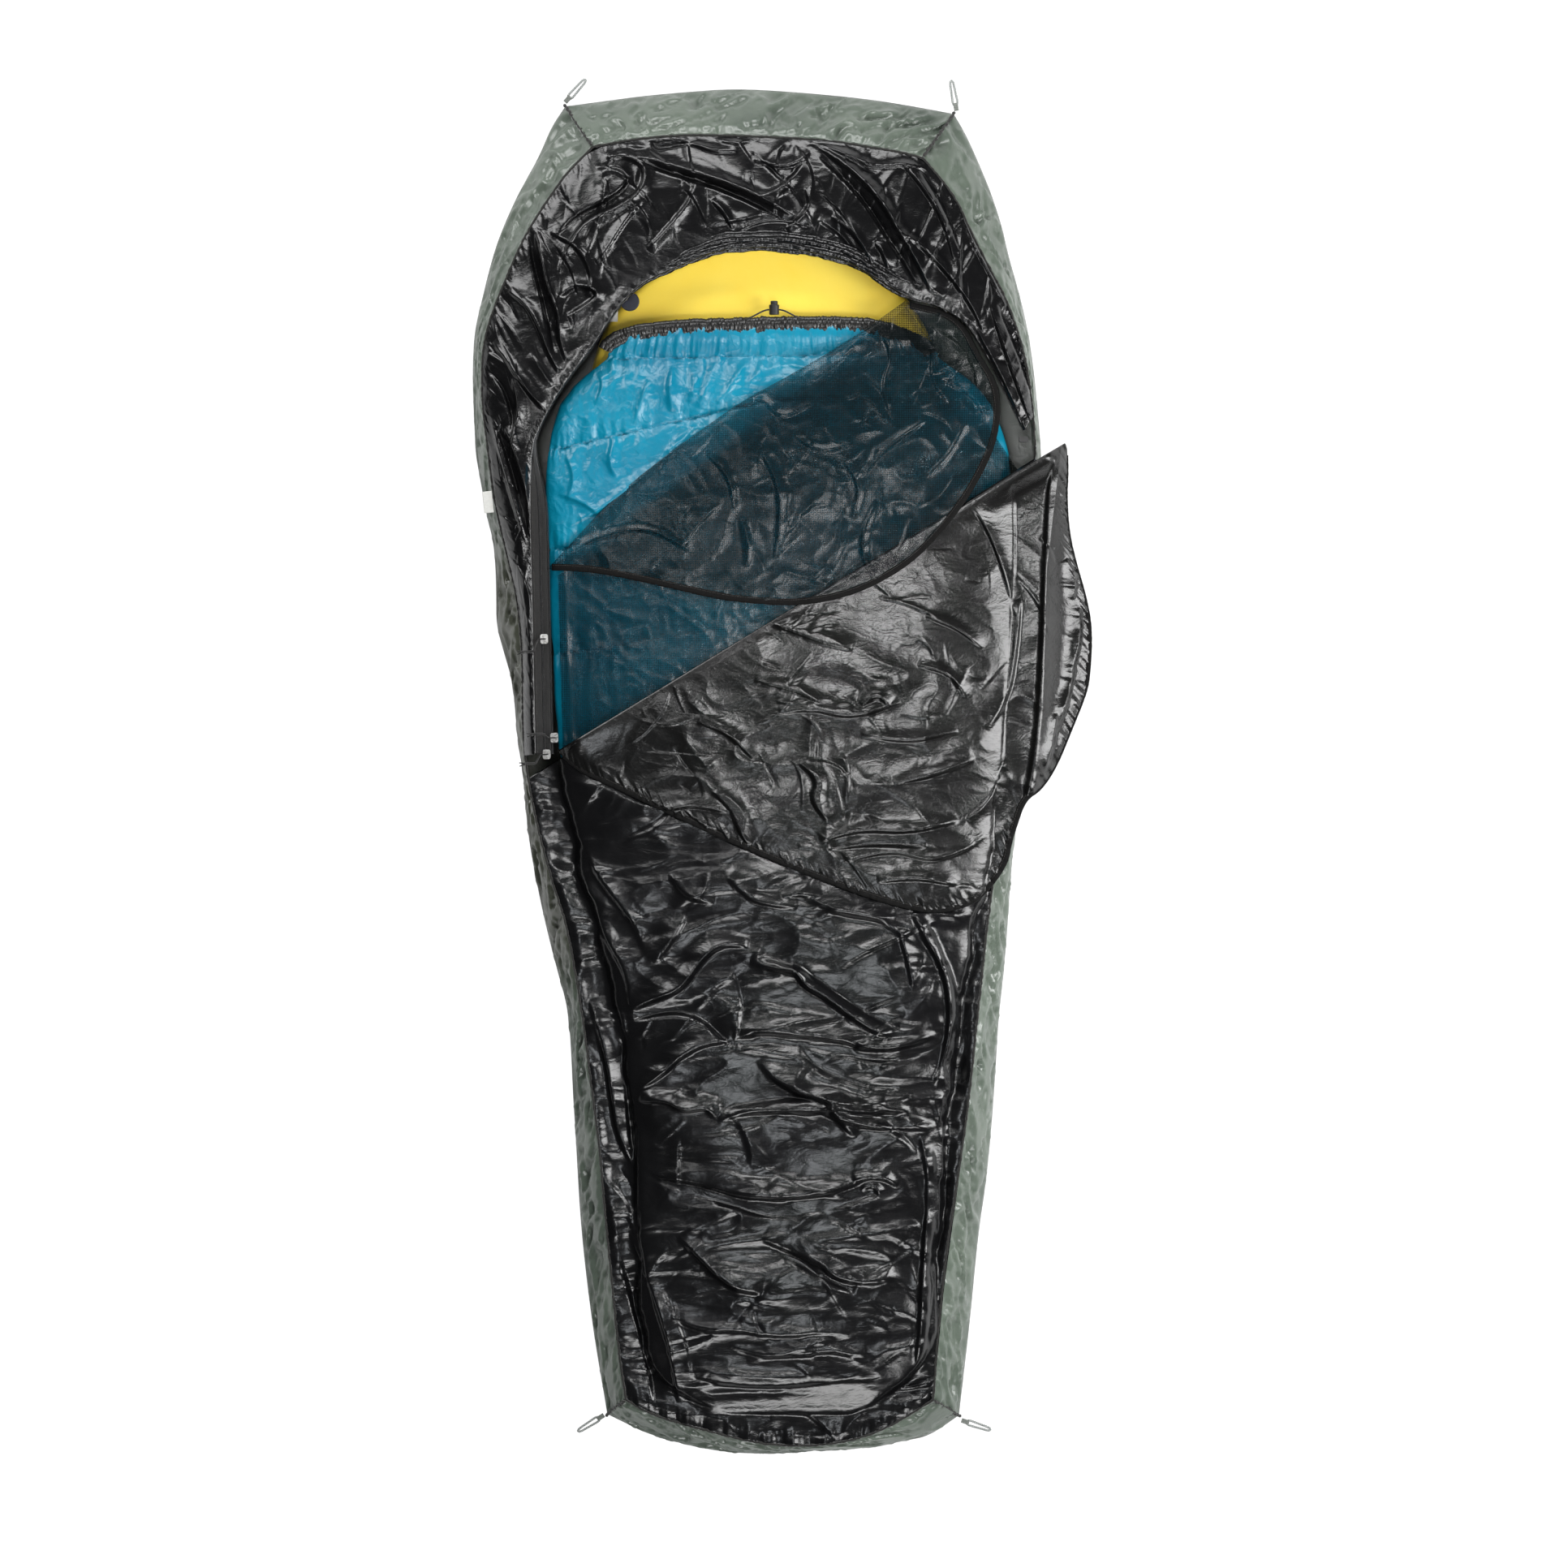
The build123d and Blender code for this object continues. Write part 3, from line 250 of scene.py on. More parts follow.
FOLDS_BAG = [
    (7, 8, -154, 634, -160, 602, -156, 563), (5, 6, -192, 614, -205, 576, -215, 544),
    (5, 6, -90, 640, -102, 602, -113, 570), (5, 6, -38, 646, -58, 614, -83, 576),
    (4, 5, -13, 646, -19, 627, -38, 604), (4, 6, -128, 637, -118, 608, -128, 576),
    (4, 6, -269, 627, -262, 602, -275, 576),
    (5, 6, -320, 384, -269, 410, -218, 448, -154, 499),
    (4, 6, -333, 435, -294, 422, -262, 397), (4, 6, -115, 544, -141, 518, -166, 499),
    (4, 6, -320, 493, -307, 461, -320, 422), (4, 6, -243, 525, -256, 486, -243, 461)]


# ---------------------------------------------------------------- curves
def travelled(line):
    """Distance from the start of a line to each of its points."""
    return np.concatenate([[0], np.cumsum(np.linalg.norm(np.diff(line, axis=0), axis=1))])


def along(line, distance):
    """Points at given distances along a line."""
    reach = travelled(line)
    return np.stack([np.interp(distance, reach, column) for column in line.T], 1)


def resample(curve, count, smooth=2):
    """Evenly spaced points on a curve whose corners are first cut `smooth` times."""
    points = np.array(curve, float)
    for _ in range(smooth):
        a, b = points[:-1], points[1:]
        cut = np.stack([a * .75 + b * .25, a * .25 + b * .75], 1).reshape(-1, points.shape[1])
        points = np.concatenate([points[:1], cut, points[-1:]])
    return along(points, np.linspace(0, travelled(points)[-1], count))


def by_y(curve, y):
    """x of an outline at a given y."""
    points = np.array(sorted(curve, key=lambda point: point[1]), float)
    return np.interp(y, points[:, 1], points[:, 0])


def unit_rows(vectors):
    return vectors / np.maximum(np.linalg.norm(vectors, axis=-1, keepdims=True), 1e-9)


def left_normals(line):
    """Plan normals on the left of the direction of travel."""
    tangent = unit_rows(np.gradient(line[:, :2], axis=0))
    return np.stack([-tangent[:, 1], tangent[:, 0]], 1)


def offset_line(line, distance, rise=0.0):
    """A line moved to its left in plan, and raised if it has a z column."""
    moved = line.copy()
    moved[:, :2] += left_normals(line) * np.reshape(distance, (-1, 1))
    moved[:, 2:] += np.reshape(rise, (-1, 1))
    return moved


def with_z(line, z):
    return np.column_stack([line, np.broadcast_to(z, len(line))])


def turned(points, angle, origin):
    """Points turned about Z, then moved."""
    cosine, sine = math.cos(angle), math.sin(angle)
    return points @ np.array([[cosine, sine, 0], [-sine, cosine, 0], [0, 0, 1]]) + origin


# ---------------------------------------------------------------- shaping functions
def smoothstep(value):
    value = np.clip(value, 0, 1)
    return value * value * (3 - 2 * value)


def smooth_max(a, b, blend):
    share = np.clip(0.5 + 0.5 * (a - b) / blend, 0, 1)
    return b + (a - b) * share + blend * share * (1 - share)


def signed_power(value, power):
    return np.sign(value) * np.abs(value) ** power


def lattice_angle(column, row, seed):
    """A fixed pseudo-random angle for each lattice point."""
    number = (column.astype(np.int64) * 374761393 + row.astype(np.int64) * 668265263
              + seed * 1442695041) & 0xFFFFFFFF
    number = (number ^ (number >> 13)) * 1274126177 & 0xFFFFFFFF
    return ((number ^ (number >> 16)) & 0xFFFF) / 65535.0 * 2 * math.pi


def fade(value):
    return value * value * value * (value * (value * 6 - 15) + 10)


def noise(x, y, seed):
    """Gradient noise, about -1..1."""
    x, y = np.asarray(x, float), np.asarray(y, float)
    column, row = np.floor(x), np.floor(y)
    inside_x, inside_y = x - column, y - row
    blend_x, blend_y = fade(inside_x), fade(inside_y)

    def corner(i, j):
        angle = lattice_angle(column + i, row + j, seed)
        return np.cos(angle) * (inside_x - i) + np.sin(angle) * (inside_y - j)

    low = corner(0, 0) * (1 - blend_x) + corner(1, 0) * blend_x
    high = corner(0, 1) * (1 - blend_x) + corner(1, 1) * blend_x
    return (low * (1 - blend_y) + high * blend_y) * 1.55


def crease_noise(x, y, seed):
    """Ridged noise with a warped domain: crisp creases between flat facets, 0..1."""
    warped_x = x + 0.55 * noise(x * 0.9 + 3.1, y * 0.9, seed + 11)
    warped_y = y + 0.55 * noise(x * 0.9, y * 0.9 + 7.7, seed + 12)
    return (1 - np.clip(np.abs(noise(warped_x, warped_y, seed)), 0, 1)) ** 1.6


def add_folds(x, y, z, folds, gain, mask, steep=0.5, gentle=1.5):
    """Creases with one steep flank, one gentle flank and faded ends.

    steep and gentle are the reach of each flank as a share of the crease's width.
    """
    relief = np.zeros_like(z)
    for height, width, *coordinates in folds:
        points = np.reshape(coordinates, (-1, 2))
        path = resample(points, max(8, len(points) * 4))
        low, high = path.min(0) - 5 * width, path.max(0) + 5 * width
        near = (x > low[0]) & (x < high[0]) & (y > low[1]) & (y < high[1])
        if not near.any():
            continue
        near_x, near_y = x[near], y[near]
        nearest = np.full(near_x.shape, 1e9)
        signed = np.zeros(near_x.shape)
        progress = np.zeros(near_x.shape)
        segments = len(path) - 1
        for i in range(segments):
            start, step = path[i], path[i + 1] - path[i]
            share = ((near_x - start[0]) * step[0] + (near_y - start[1]) * step[1])
            share = np.clip(share / max(float(step @ step), 1e-9), 0, 1)
            away_x = near_x - (start[0] + share * step[0])
            away_y = near_y - (start[1] + share * step[1])
            distance = np.hypot(away_x, away_y)
            closer = distance < nearest
            side = np.sign(step[0] * away_y - step[1] * away_x)
            nearest = np.where(closer, distance, nearest)
            signed = np.where(closer, side * distance, signed)
            progress = np.where(closer, (i + share) / segments, progress)
        taper = np.sin(np.pi * np.clip(progress, 0.001, 0.999)) ** 0.6
        reach = width * gentle
        profile = np.where(
            signed < 0, np.exp(-(signed / (width * steep)) ** 2),
            0.45 * np.exp(-(signed / reach) ** 2) + 0.55 * np.exp(-np.abs(signed) / reach / 0.8))
        relief[near] += height * gain * taper * profile
    return z + relief * mask


def random_folds(draw, count, start, length, width, height, bend):
    """Seeded small creases; start(draw) gives x, y and a heading, the pairs are ranges."""
    folds = []
    for _ in range(count):
        x, y, heading = start(draw)
        heading += draw.normal(0, 0.35)
        step = draw.uniform(*length) / 4
        turn = draw.normal(0, bend)
        coordinates = []
        for _ in range(5):
            coordinates += [x, y]
            x += math.cos(heading) * step
            y += math.sin(heading) * step
            heading += turn / 2 + draw.normal(0, 0.12)
        sign = -1.0 if draw.random() < 0.35 else 1.0
        folds.append((sign * draw.uniform(*height), draw.uniform(*width), *coordinates))
    return folds


# ---------------------------------------------------------------- mesh tools
NO_TRIANGLES = np.zeros((0, 3), int)


def mesh_object(name, vertices, quads, material, triangles=NO_TRIANGLES):
    """A smooth-shaded object from millimetre vertices."""
    mesh = bpy.data.meshes.new(name)
    mesh.vertices.add(len(vertices))
    mesh.vertices.foreach_set("co", (vertices * MM).reshape(-1))
    mesh.loops.add(quads.size + triangles.size)
    corners = np.concatenate([quads.reshape(-1), triangles.reshape(-1)])
    mesh.loops.foreach_set("vertex_index", corners)
    mesh.polygons.add(len(quads) + len(triangles))
    starts = [np.arange(0, quads.size, 4), quads.size + np.arange(0, triangles.size, 3)]
    mesh.polygons.foreach_set("loop_start", np.concatenate(starts))
    totals = [np.full(len(quads), 4), np.full(len(triangles), 3)]
    mesh.polygons.foreach_set("loop_total", np.concatenate(totals))
    mesh.update(calc_edges=True)
    mesh.validate()
    mesh.polygons.foreach_set("use_smooth", np.ones(len(mesh.polygons), bool))
    mesh.update()
    obj = bpy.data.objects.new(name, mesh)
    bpy.context.scene.collection.objects.link(obj)
    mesh.materials.append(material)
    return obj


def join_parts(name, parts, material):
    """One object from many (vertices, quads, triangles)."""
    vertices, quads, triangles = [], [], []
    offset = 0
    for part_vertices, part_quads, part_triangles in parts:
        vertices.append(part_vertices)
        quads.append(part_quads + offset)
        triangles.append(part_triangles + offset)
        offset += len(part_vertices)
    return mesh_object(name, np.concatenate(vertices), np.concatenate(quads), material,
                       np.concatenate(triangles))


def attach(obj, body, replaces=None):
    """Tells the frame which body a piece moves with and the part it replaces."""
    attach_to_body(obj, body)
    if replaces:
        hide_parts(replaces)
    return obj


def face_outward(obj):
    faces = bmesh.new()
    faces.from_mesh(obj.data)
    bmesh.ops.recalc_face_normals(faces, faces=faces.faces)
    faces.to_mesh(obj.data)
    faces.free()


def surface(x, y, z):
    """A (rows, columns, 3) grid of points."""
    return np.stack(np.broadcast_arrays(x, y, z), -1)


def grid_faces(rows, columns, closed=False):
    i = np.arange(rows - 1)[:, None] * columns
    j = np.arange(columns if closed else columns - 1)[None, :]
    k = (j + 1) % columns
    corners = np.broadcast_arrays(i + j, i + k, i + columns + k, i + columns + j)
    return np.stack(corners, -1).reshape(-1, 4)


def fan(centre, first, sides, backward=False):
    """Triangles from a centre vertex to a closed ring starting at vertex `first`."""
    j = first + np.arange(sides)
    k = first + (np.arange(sides) + 1) % sides
    ring = (k, j) if backward else (j, k)
    return np.stack([np.full(sides, centre), *ring], 1)


def grid_normals(points):
    return unit_rows(np.cross(np.gradient(points, axis=0), np.gradient(points, axis=1)))


def shell(top, bottom):
    """Vertices and quads of two grids joined round their edges."""
    rows, columns = top.shape[:2]
    under = rows * columns
    last = (rows - 1) * columns
    j = np.arange(columns - 1)
    i = np.arange(rows - 1) * columns
    k = i + columns
    right = columns - 1
    faces = grid_faces(rows, columns)
    quads = [
        faces, faces[:, ::-1] + under,
        np.stack([j, j + under, j + 1 + under, j + 1], 1),
        last + np.stack([j, j + 1, j + 1 + under, j + under], 1),
        np.stack([i, k, k + under, i + under], 1),
        right + np.stack([i, i + under, k + under, k], 1)]
    return (np.concatenate([top.reshape(-1, 3), bottom.reshape(-1, 3)]), np.concatenate(quads))


def cloth(name, points, material, thickness, up=True):
    """Fabric with real thickness round a grid; `up` turns its first face skyward."""
    normals = grid_normals(points)
    flip = up and normals[..., 2].mean() < 0
    if flip:
        normals = -normals
    vertices, quads = shell(points + normals * (thickness / 2),
                            points - normals * (thickness / 2))
    return mesh_object(name, vertices, quads[:, ::-1] if flip else quads, material)


def tube(path, radius, sides=8, squash=1.0):
    """A capped cord along a path; radius may be an array, squash flattens it."""
    count = len(path)
    radius = np.broadcast_to(np.asarray(radius, float), (count,))
    tangent = unit_rows(np.gradient(path, axis=0))
    across = np.cross(tangent, np.array([0, 0, 1.0]))
    upright = np.linalg.norm(across, axis=1) < 0.2
    across[upright] = np.cross(tangent[upright], np.array([1.0, 0, 0]))
    across /= np.linalg.norm(across, axis=1, keepdims=True)
    above = np.cross(across, tangent)
    angle = np.linspace(0, 2 * math.pi, sides, endpoint=False)[None, :, None]
    ring = np.cos(angle) * across[:, None] + squash * np.sin(angle) * above[:, None]
    vertices = (path[:, None] + radius[:, None, None] * ring).reshape(-1, 3)
    size = count * sides
    caps = [fan(size, 0, sides, backward=True), fan(size + 1, size - sides, sides)]
    return (np.concatenate([vertices, path[:1], path[-1:]]),
            grid_faces(count, sides, closed=True), np.concatenate(caps))


def cords(name, paths, radius, material, sides=8, squash=1.0):
    return join_parts(name, [tube(path, radius, sides, squash) for path in paths], material)


def stitch_runs(line, first, pitch, length, count):
    """The short run of `count` points under each stitch of a row."""
    runs = []
    total = travelled(line)[-1]
    while first + length < total:
        runs.append(along(line, np.linspace(first, first + length, count)))
        first += pitch
    return runs


def stitches(name, line, pitch, length, radius):
    """A row of thread stitches that arch a little above a line."""
    arch = np.array([0, 0, 1.0]) * (0.25 + np.array([[-0.3, 0.12, 0.2, 0.12, -0.3]]).T)
    runs = stitch_runs(line, first=pitch / 2, pitch=pitch, length=length, count=5)
    return cords(name, [run + arch for run in runs], radius, THREAD, sides=5)


def zip_coil(name, line, radius=1.25, pitch=2.0, wire=0.42, points_per_turn=7):
    """A flattened helix of wire along a line."""
    total = travelled(line)[-1]
    distance = np.linspace(0, total, int(total / pitch * points_per_turn))
    centre = along(line, distance)
    tangent = unit_rows(np.gradient(centre, axis=0))
    side = np.stack([tangent[:, 1], -tangent[:, 0], 0 * distance], 1)
    angle = (distance / pitch * 2 * math.pi)[:, None]
    helix = (centre + side * 1.35 * radius * np.cos(angle)
             + np.array([0, 0, 1.0]) * 0.8 * radius * np.sin(angle))
    return cords(name, [helix], wire, COIL_PLASTIC, sides=5)


def curl(edge, outward, radius, degrees):
    """Rows that curl a cloth's edge outward and back below itself."""
    angle = np.radians(degrees)[:, None]
    reach = radius * np.sin(angle)
    return surface(edge[:, 0] + outward[:, 0] * reach, edge[:, 1] + outward[:, 1] * reach,
                   edge[:, 2] - radius * (1 - np.cos(angle)))


# ---------------------------------------------------------------- material tools
def linear(colour):
    """RGBA for the shader from 0..255 sRGB."""
    def channel(value):
        value /= 255.0
        return value / 12.92 if value <= 0.04045 else ((value + 0.055) / 1.055) ** 2.4
    return tuple(channel(value) for value in colour) + (1.0,)


class Shader:
    """A material round one Principled shader, in object coordinates, with chained bumps."""

    def __init__(self, name):
        self.material = bpy.data.materials.new(name)
        self.material.use_nodes = True
        self.tree = self.material.node_tree
        self.tree.nodes.clear()
        self.output = self.node("ShaderNodeOutputMaterial")
        self.principled = self.node("ShaderNodeBsdfPrincipled")
        self.tree.links.new(self.principled.outputs[0], self.output.inputs[0])
        self.coordinates = self.node("ShaderNodeTexCoord").outputs["Object"]
        self.bumped = None

    def node(self, kind, **settings):
        node = self.tree.nodes.new(kind)
        for key, value in settings.items():
            setattr(node, key, value)
        return node

    def feed(self, socket, value):
        """Links another node's output, or sets a plain value."""
        if isinstance(value, bpy.types.NodeSocket):
            self.tree.links.new(value, socket)
        else:
            socket.default_value = value

    def set(self, **inputs):
        for key, value in inputs.items():
            self.feed(self.principled.inputs[key.replace("_", " ")], value)

    def stretched(self, scale):
        node = self.node("ShaderNodeMapping")
        node.inputs["Scale"].default_value = scale
        self.feed(node.inputs["Vector"], self.coordinates)
        return node.outputs[0]

    def noise(self, scale, detail=3, roughness=0.55, distortion=0.0, vector=None):
        node = self.node("ShaderNodeTexNoise")
        node.inputs["Scale"].default_value = scale
        node.inputs["Detail"].default_value = detail
        node.inputs["Roughness"].default_value = roughness
        node.inputs["Distortion"].default_value = distortion
        self.feed(node.inputs["Vector"], vector or self.coordinates)
        return node.outputs["Fac"]

    def ramp(self, factor, *stops):
        """Two (position, RGBA) stops."""
        node = self.node("ShaderNodeValToRGB")
        for element, (position, colour) in zip(node.color_ramp.elements, stops):
            element.position = position
            element.color = colour
        self.feed(node.inputs[0], factor)
        return node.outputs[0]

    def math(self, operation, *values, clamp=False):
        node = self.node("ShaderNodeMath", operation=operation, use_clamp=clamp)
        for socket, value in zip(node.inputs, values):
            self.feed(socket, value)
        return node.outputs[0]

    def weighted(self, first, weight, second, second_weight):
        return self.math("ADD", self.math("MULTIPLY", first, weight),
                         self.math("MULTIPLY", second, second_weight))

    def vary(self, factor, amount, base):
        return self.math("ADD", self.math("MULTIPLY", factor, amount), base)

    def mix_colour(self, factor, a, b):
        node = self.node("ShaderNodeMix", data_type="RGBA")
        for socket, value in ((0, factor), (6, a), (7, b)):
            self.feed(node.inputs[socket], value)
        return node.outputs[2]

    def mix_surface(self, factor, other):
        """Output: the Principled shader at factor 0, the other at 1."""
        node = self.node("ShaderNodeMixShader")
        self.feed(node.inputs[0], factor)
        self.feed(node.inputs[1], self.principled.outputs[0])
        self.feed(node.inputs[2], other.outputs[0])
        self.feed(self.output.inputs[0], node.outputs[0])

    def ridges(self, **noise_settings):
        """Sharp crests along the middle level of a noise."""
        centred = self.math("SUBTRACT", self.noise(**noise_settings), 0.5)
        away = self.math("ABSOLUTE", self.math("MULTIPLY", centred, 3.6))
        return self.math("POWER", self.math("SUBTRACT", 1.0, away, clamp=True), 2.0)

    def weave(self, pitch_mm, profile="SIN"):
        """Over-under plain weave as a height 0..1."""
        threads = []
        for axis in ("X", "Y"):
            node = self.node("ShaderNodeTexWave", wave_type="BANDS", bands_direction=axis,
                             wave_profile=profile)
            node.inputs["Scale"].default_value = 1000.0 / pitch_mm / 20.0 * 3.14159
            node.inputs["Distortion"].default_value = 0.3
            node.inputs["Detail"].default_value = 0.0
            self.feed(node.inputs["Vector"], self.coordinates)
            threads.append(node.outputs["Fac"])
        return self.math("MULTIPLY", *threads)

    def bump(self, height, distance_mm, strength):
        node = self.node("ShaderNodeBump")
        node.inputs["Strength"].default_value = strength
        node.inputs["Distance"].default_value = distance_mm * MM
        self.feed(node.inputs["Height"], height)
        if self.bumped is not None:
            self.feed(node.inputs["Normal"], self.bumped)
        self.bumped = node.outputs[0]
        self.feed(self.principled.inputs["Normal"], self.bumped)


def paint_left_shade(shader, mottle, colour, painted_shade_colours):
    """Painted shade: darkens the chest length of the left side, with a wandering border
    (metres).
    """
    axes = shader.node("ShaderNodeSeparateXYZ")
    shader.feed(axes.inputs[0], shader.coordinates)
    centred = shader.math("SUBTRACT", shader.noise(scale=9.0, detail=3, roughness=0.6), 0.5)
    y = shader.math("ADD", axes.outputs[1], shader.math("MULTIPLY", centred, 0.16))
    above = shader.math("MULTIPLY", shader.math("ADD", y, 0.38), 9.0, clamp=True)
    below = shader.math("MULTIPLY", shader.math("SUBTRACT", 0.42, y), 9.0, clamp=True)
    beyond = shader.math("SUBTRACT", -0.1, axes.outputs[0])
    left = shader.math("MULTIPLY", beyond, 20.0, clamp=True)
    dark, light = painted_shade_colours
    # the mottled painted shade colours for that stretch of the wall
    slack = shader.ramp(mottle, (0.30, linear(dark)), (0.70, linear(light)))
    inside = shader.math("MULTIPLY", shader.math("MULTIPLY", above, below), left)
    return shader.mix_colour(inside, colour, slack)


def coated_nylon(name, dark, light, roughness, crinkle, sheen, specular=0.5, weave_mm=0.7,
                 grid_mm=None, stretch=(1, 1, 1), fine=1.0, painted_shade_colours=None):
    """Thin coated nylon: colour drift, crisp creases, plain weave, faint ripstop grid.

    crinkle scales all creases, fine the small ones, stretch their lie along the axes; a given
    pair of shade colours paints shade on the chest length of the left side.
    """
    shader = Shader(name)
    vector = shader.stretched(stretch)
    drift = shader.noise(scale=7.0, detail=4, roughness=0.6, distortion=0.4)
    speck = shader.noise(scale=900.0, detail=2, roughness=0.6)
    mottle = shader.weighted(drift, 0.75, speck, 0.25)
    colour = shader.ramp(mottle, (0.30, linear(dark)), (0.70, linear(light)))
    # painted shade on the left wall's chest length
    if painted_shade_colours:
        colour = paint_left_shade(shader, mottle, colour, painted_shade_colours)
    patches = shader.noise(scale=26.0, detail=4, roughness=0.65, distortion=0.5)
    shader.set(Base_Color=colour, Specular_IOR_Level=specular, Sheen_Weight=sheen,
               Sheen_Roughness=0.4, Coat_Weight=0.0, Coat_Roughness=0.28,
               Roughness=shader.vary(patches, amount=0.12, base=roughness - 0.06))
    creases = dict(detail=1.5, roughness=0.45, vector=vector)
    large = shader.ridges(scale=34.0, distortion=1.3, **creases)
    shader.bump(large, distance_mm=0.34 * crinkle, strength=0.8)
    small = shader.ridges(scale=95.0, distortion=1.6, **creases)
    shader.bump(small, distance_mm=0.075 * crinkle * fine, strength=0.8)
    grain = shader.noise(scale=260.0, detail=1.0, roughness=0.5, distortion=0.6)
    shader.bump(grain, distance_mm=0.008 * fine, strength=0.8)
    if grid_mm:
        shader.bump(shader.weave(grid_mm, "SAW"), distance_mm=0.008, strength=0.5)
    shader.bump(shader.weave(weave_mm), distance_mm=0.003, strength=0.5)
    return shader.material


def webbing(name, dark, light, pitch_mm, roughness=0.75, specular=0.25, sheen=0.25):
    """Coarse matt weave for tapes, threads and cords."""
    shader = Shader(name)
    weave = shader.weave(pitch_mm, "TRI")
    fuzz = shader.noise(scale=300.0, detail=3, roughness=0.6)
    mottle = shader.weighted(weave, 0.6, fuzz, 0.4)
    colour = shader.ramp(mottle, (0.2, linear(dark)), (0.75, linear(light)))
    shader.set(Base_Color=colour, Roughness=roughness, Specular_IOR_Level=specular,
               Sheen_Weight=sheen)
    shader.bump(weave, distance_mm=0.25, strength=0.8)
    shader.bump(shader.noise(scale=90.0), distance_mm=0.3, strength=0.4)
    return shader.material


def plastic(name, dark, light, roughness=0.4):
    """Moulded plastic with a fine grain and slow waviness."""
    shader = Shader(name)
    mottle = shader.noise(scale=60.0, detail=4, roughness=0.6)
    colour = shader.ramp(mottle, (0.3, linear(dark)), (0.7, linear(light)))
    gloss = shader.vary(shader.noise(scale=220.0), amount=0.25, base=roughness - 0.1)
    shader.set(Base_Color=colour, Specular_IOR_Level=0.5, Roughness=gloss)
    grain = shader.noise(scale=1400.0, detail=2, roughness=0.6)
    shader.bump(grain, distance_mm=0.03, strength=0.6)
    waves = shader.noise(scale=35.0, detail=2, roughness=0.6)
    shader.bump(waves, distance_mm=0.15, strength=0.3)
    return shader.material


def metal(name, dark, light):
    """Bright metal, rougher where it is worn."""
    shader = Shader(name)
    wear = shader.noise(scale=260.0, detail=5, roughness=0.7, distortion=0.8)
    colour = shader.ramp(wear, (0.35, linear(dark)), (0.6, linear(light)))
    shader.set(Base_Color=colour, Metallic=1.0,
               Roughness=shader.vary(wear, amount=0.3, base=0.16))
    grain = shader.noise(scale=700.0, detail=3, roughness=0.6)
    shader.bump(grain, distance_mm=0.04, strength=0.6)
    return shader.material


def insect_net(name, thread, hole_level, hole_blur, mesh_mm):
    """Fine net: see-through holes where the weave's height passes hole_level."""
    shader = Shader(name)
    drift = shader.noise(scale=12.0, detail=4, roughness=0.6, distortion=0.5)
    dark = linear(thread)
    light = tuple(min(1, value * 1.9) for value in dark[:3]) + (1,)
    shader.set(Base_Color=shader.ramp(drift, (0.3, dark), (0.75, light)), Roughness=0.27,
               Specular_IOR_Level=0.36, Sheen_Weight=0.0, Sheen_Roughness=0.3)
    for scale, distance_mm in ((22.0, 0.4), (75.0, 0.08)):
        crumple = shader.noise(scale=scale, detail=1.5, roughness=0.5, distortion=1.2)
        shader.bump(crumple, distance_mm=distance_mm, strength=0.8)
    hole = shader.ramp(shader.weave(mesh_mm), (hole_level - hole_blur, (0, 0, 0, 1)),
                       (hole_level + hole_blur, (1, 1, 1, 1)))
    shader.mix_surface(hole, shader.node("ShaderNodeBsdfTransparent"))
    return shader.material


# ---------------------------------------------------------------- materials
BLACK_NYLON = coated_nylon(
    "black_top_nylon", dark=(5, 5, 6), light=(12, 12, 13), roughness=0.24, crinkle=0.5,
    sheen=0.0, specular=0.46, grid_mm=5.0, stretch=(0.62, 1.25, 1), fine=2.3)
FLAP_NYLON = coated_nylon(
    "storm_door_coated_side", dark=(5, 5, 5), light=(13, 13, 12), roughness=0.26, crinkle=0.6,
    sheen=0.0, specular=0.52, stretch=(0.7, 1.2, 1), fine=2.4)
# the last pair of colours paints shade on the left wall's chest length
TUB_NYLON = coated_nylon(
    "tub_nylon", dark=(68, 77, 69), light=(92, 102, 91), roughness=0.33, crinkle=0.5,
    sheen=0.03, specular=0.6, grid_mm=6.0, painted_shade_colours=((54, 57, 48), (74, 77, 66)))
BAG_NYLON = coated_nylon(
    "bag_shell_nylon", dark=(1, 100, 128), light=(4, 126, 152), roughness=0.31, crinkle=1.3,
    sheen=0.0, specular=0.42, weave_mm=0.5)
PAD_NYLON = coated_nylon(
    "mattress_nylon", dark=(255, 218, 66), light=(255, 228, 90), roughness=0.5, crinkle=0.18,
    sheen=0.2, specular=0.35, weave_mm=0.9, fine=0.5)
HEM_NYLON = coated_nylon(
    "bag_hem_nylon", dark=(9, 9, 9), light=(25, 24, 23), roughness=0.34, crinkle=0.8,
    sheen=0.1, weave_mm=0.6)
ZIP_TAPE = webbing("zip_tape_weave", dark=(18, 18, 18), light=(38, 37, 36), pitch_mm=1.1)
BINDING = webbing("edge_binding_grosgrain", dark=(6, 6, 6), light=(19, 18, 17), pitch_mm=1.3,
                  specular=0.12, sheen=0.02)
SEAM_BINDING = webbing("gathered_seam_binding", dark=(18, 18, 16), light=(44, 43, 40),
                       pitch_mm=1.2)
THREAD = webbing("stitch_thread", dark=(30, 28, 26), light=(72, 68, 62), pitch_mm=0.6)
BLUE_THREAD = webbing("stitch_thread_blue", dark=(12, 80, 110), light=(40, 140, 170),
                      pitch_mm=0.6)
webbing("stitch_thread_light", dark=(96, 104, 94), light=(150, 158, 146), pitch_mm=0.6)
LOOP_CORD = webbing("stake_loop_cord", dark=(118, 122, 120), light=(176, 180, 177),
                    pitch_mm=1.5, roughness=0.5, specular=0.5)
BLACK_CORD = webbing("pull_cord_braid", dark=(14, 14, 14), light=(46, 45, 44), pitch_mm=1.0)
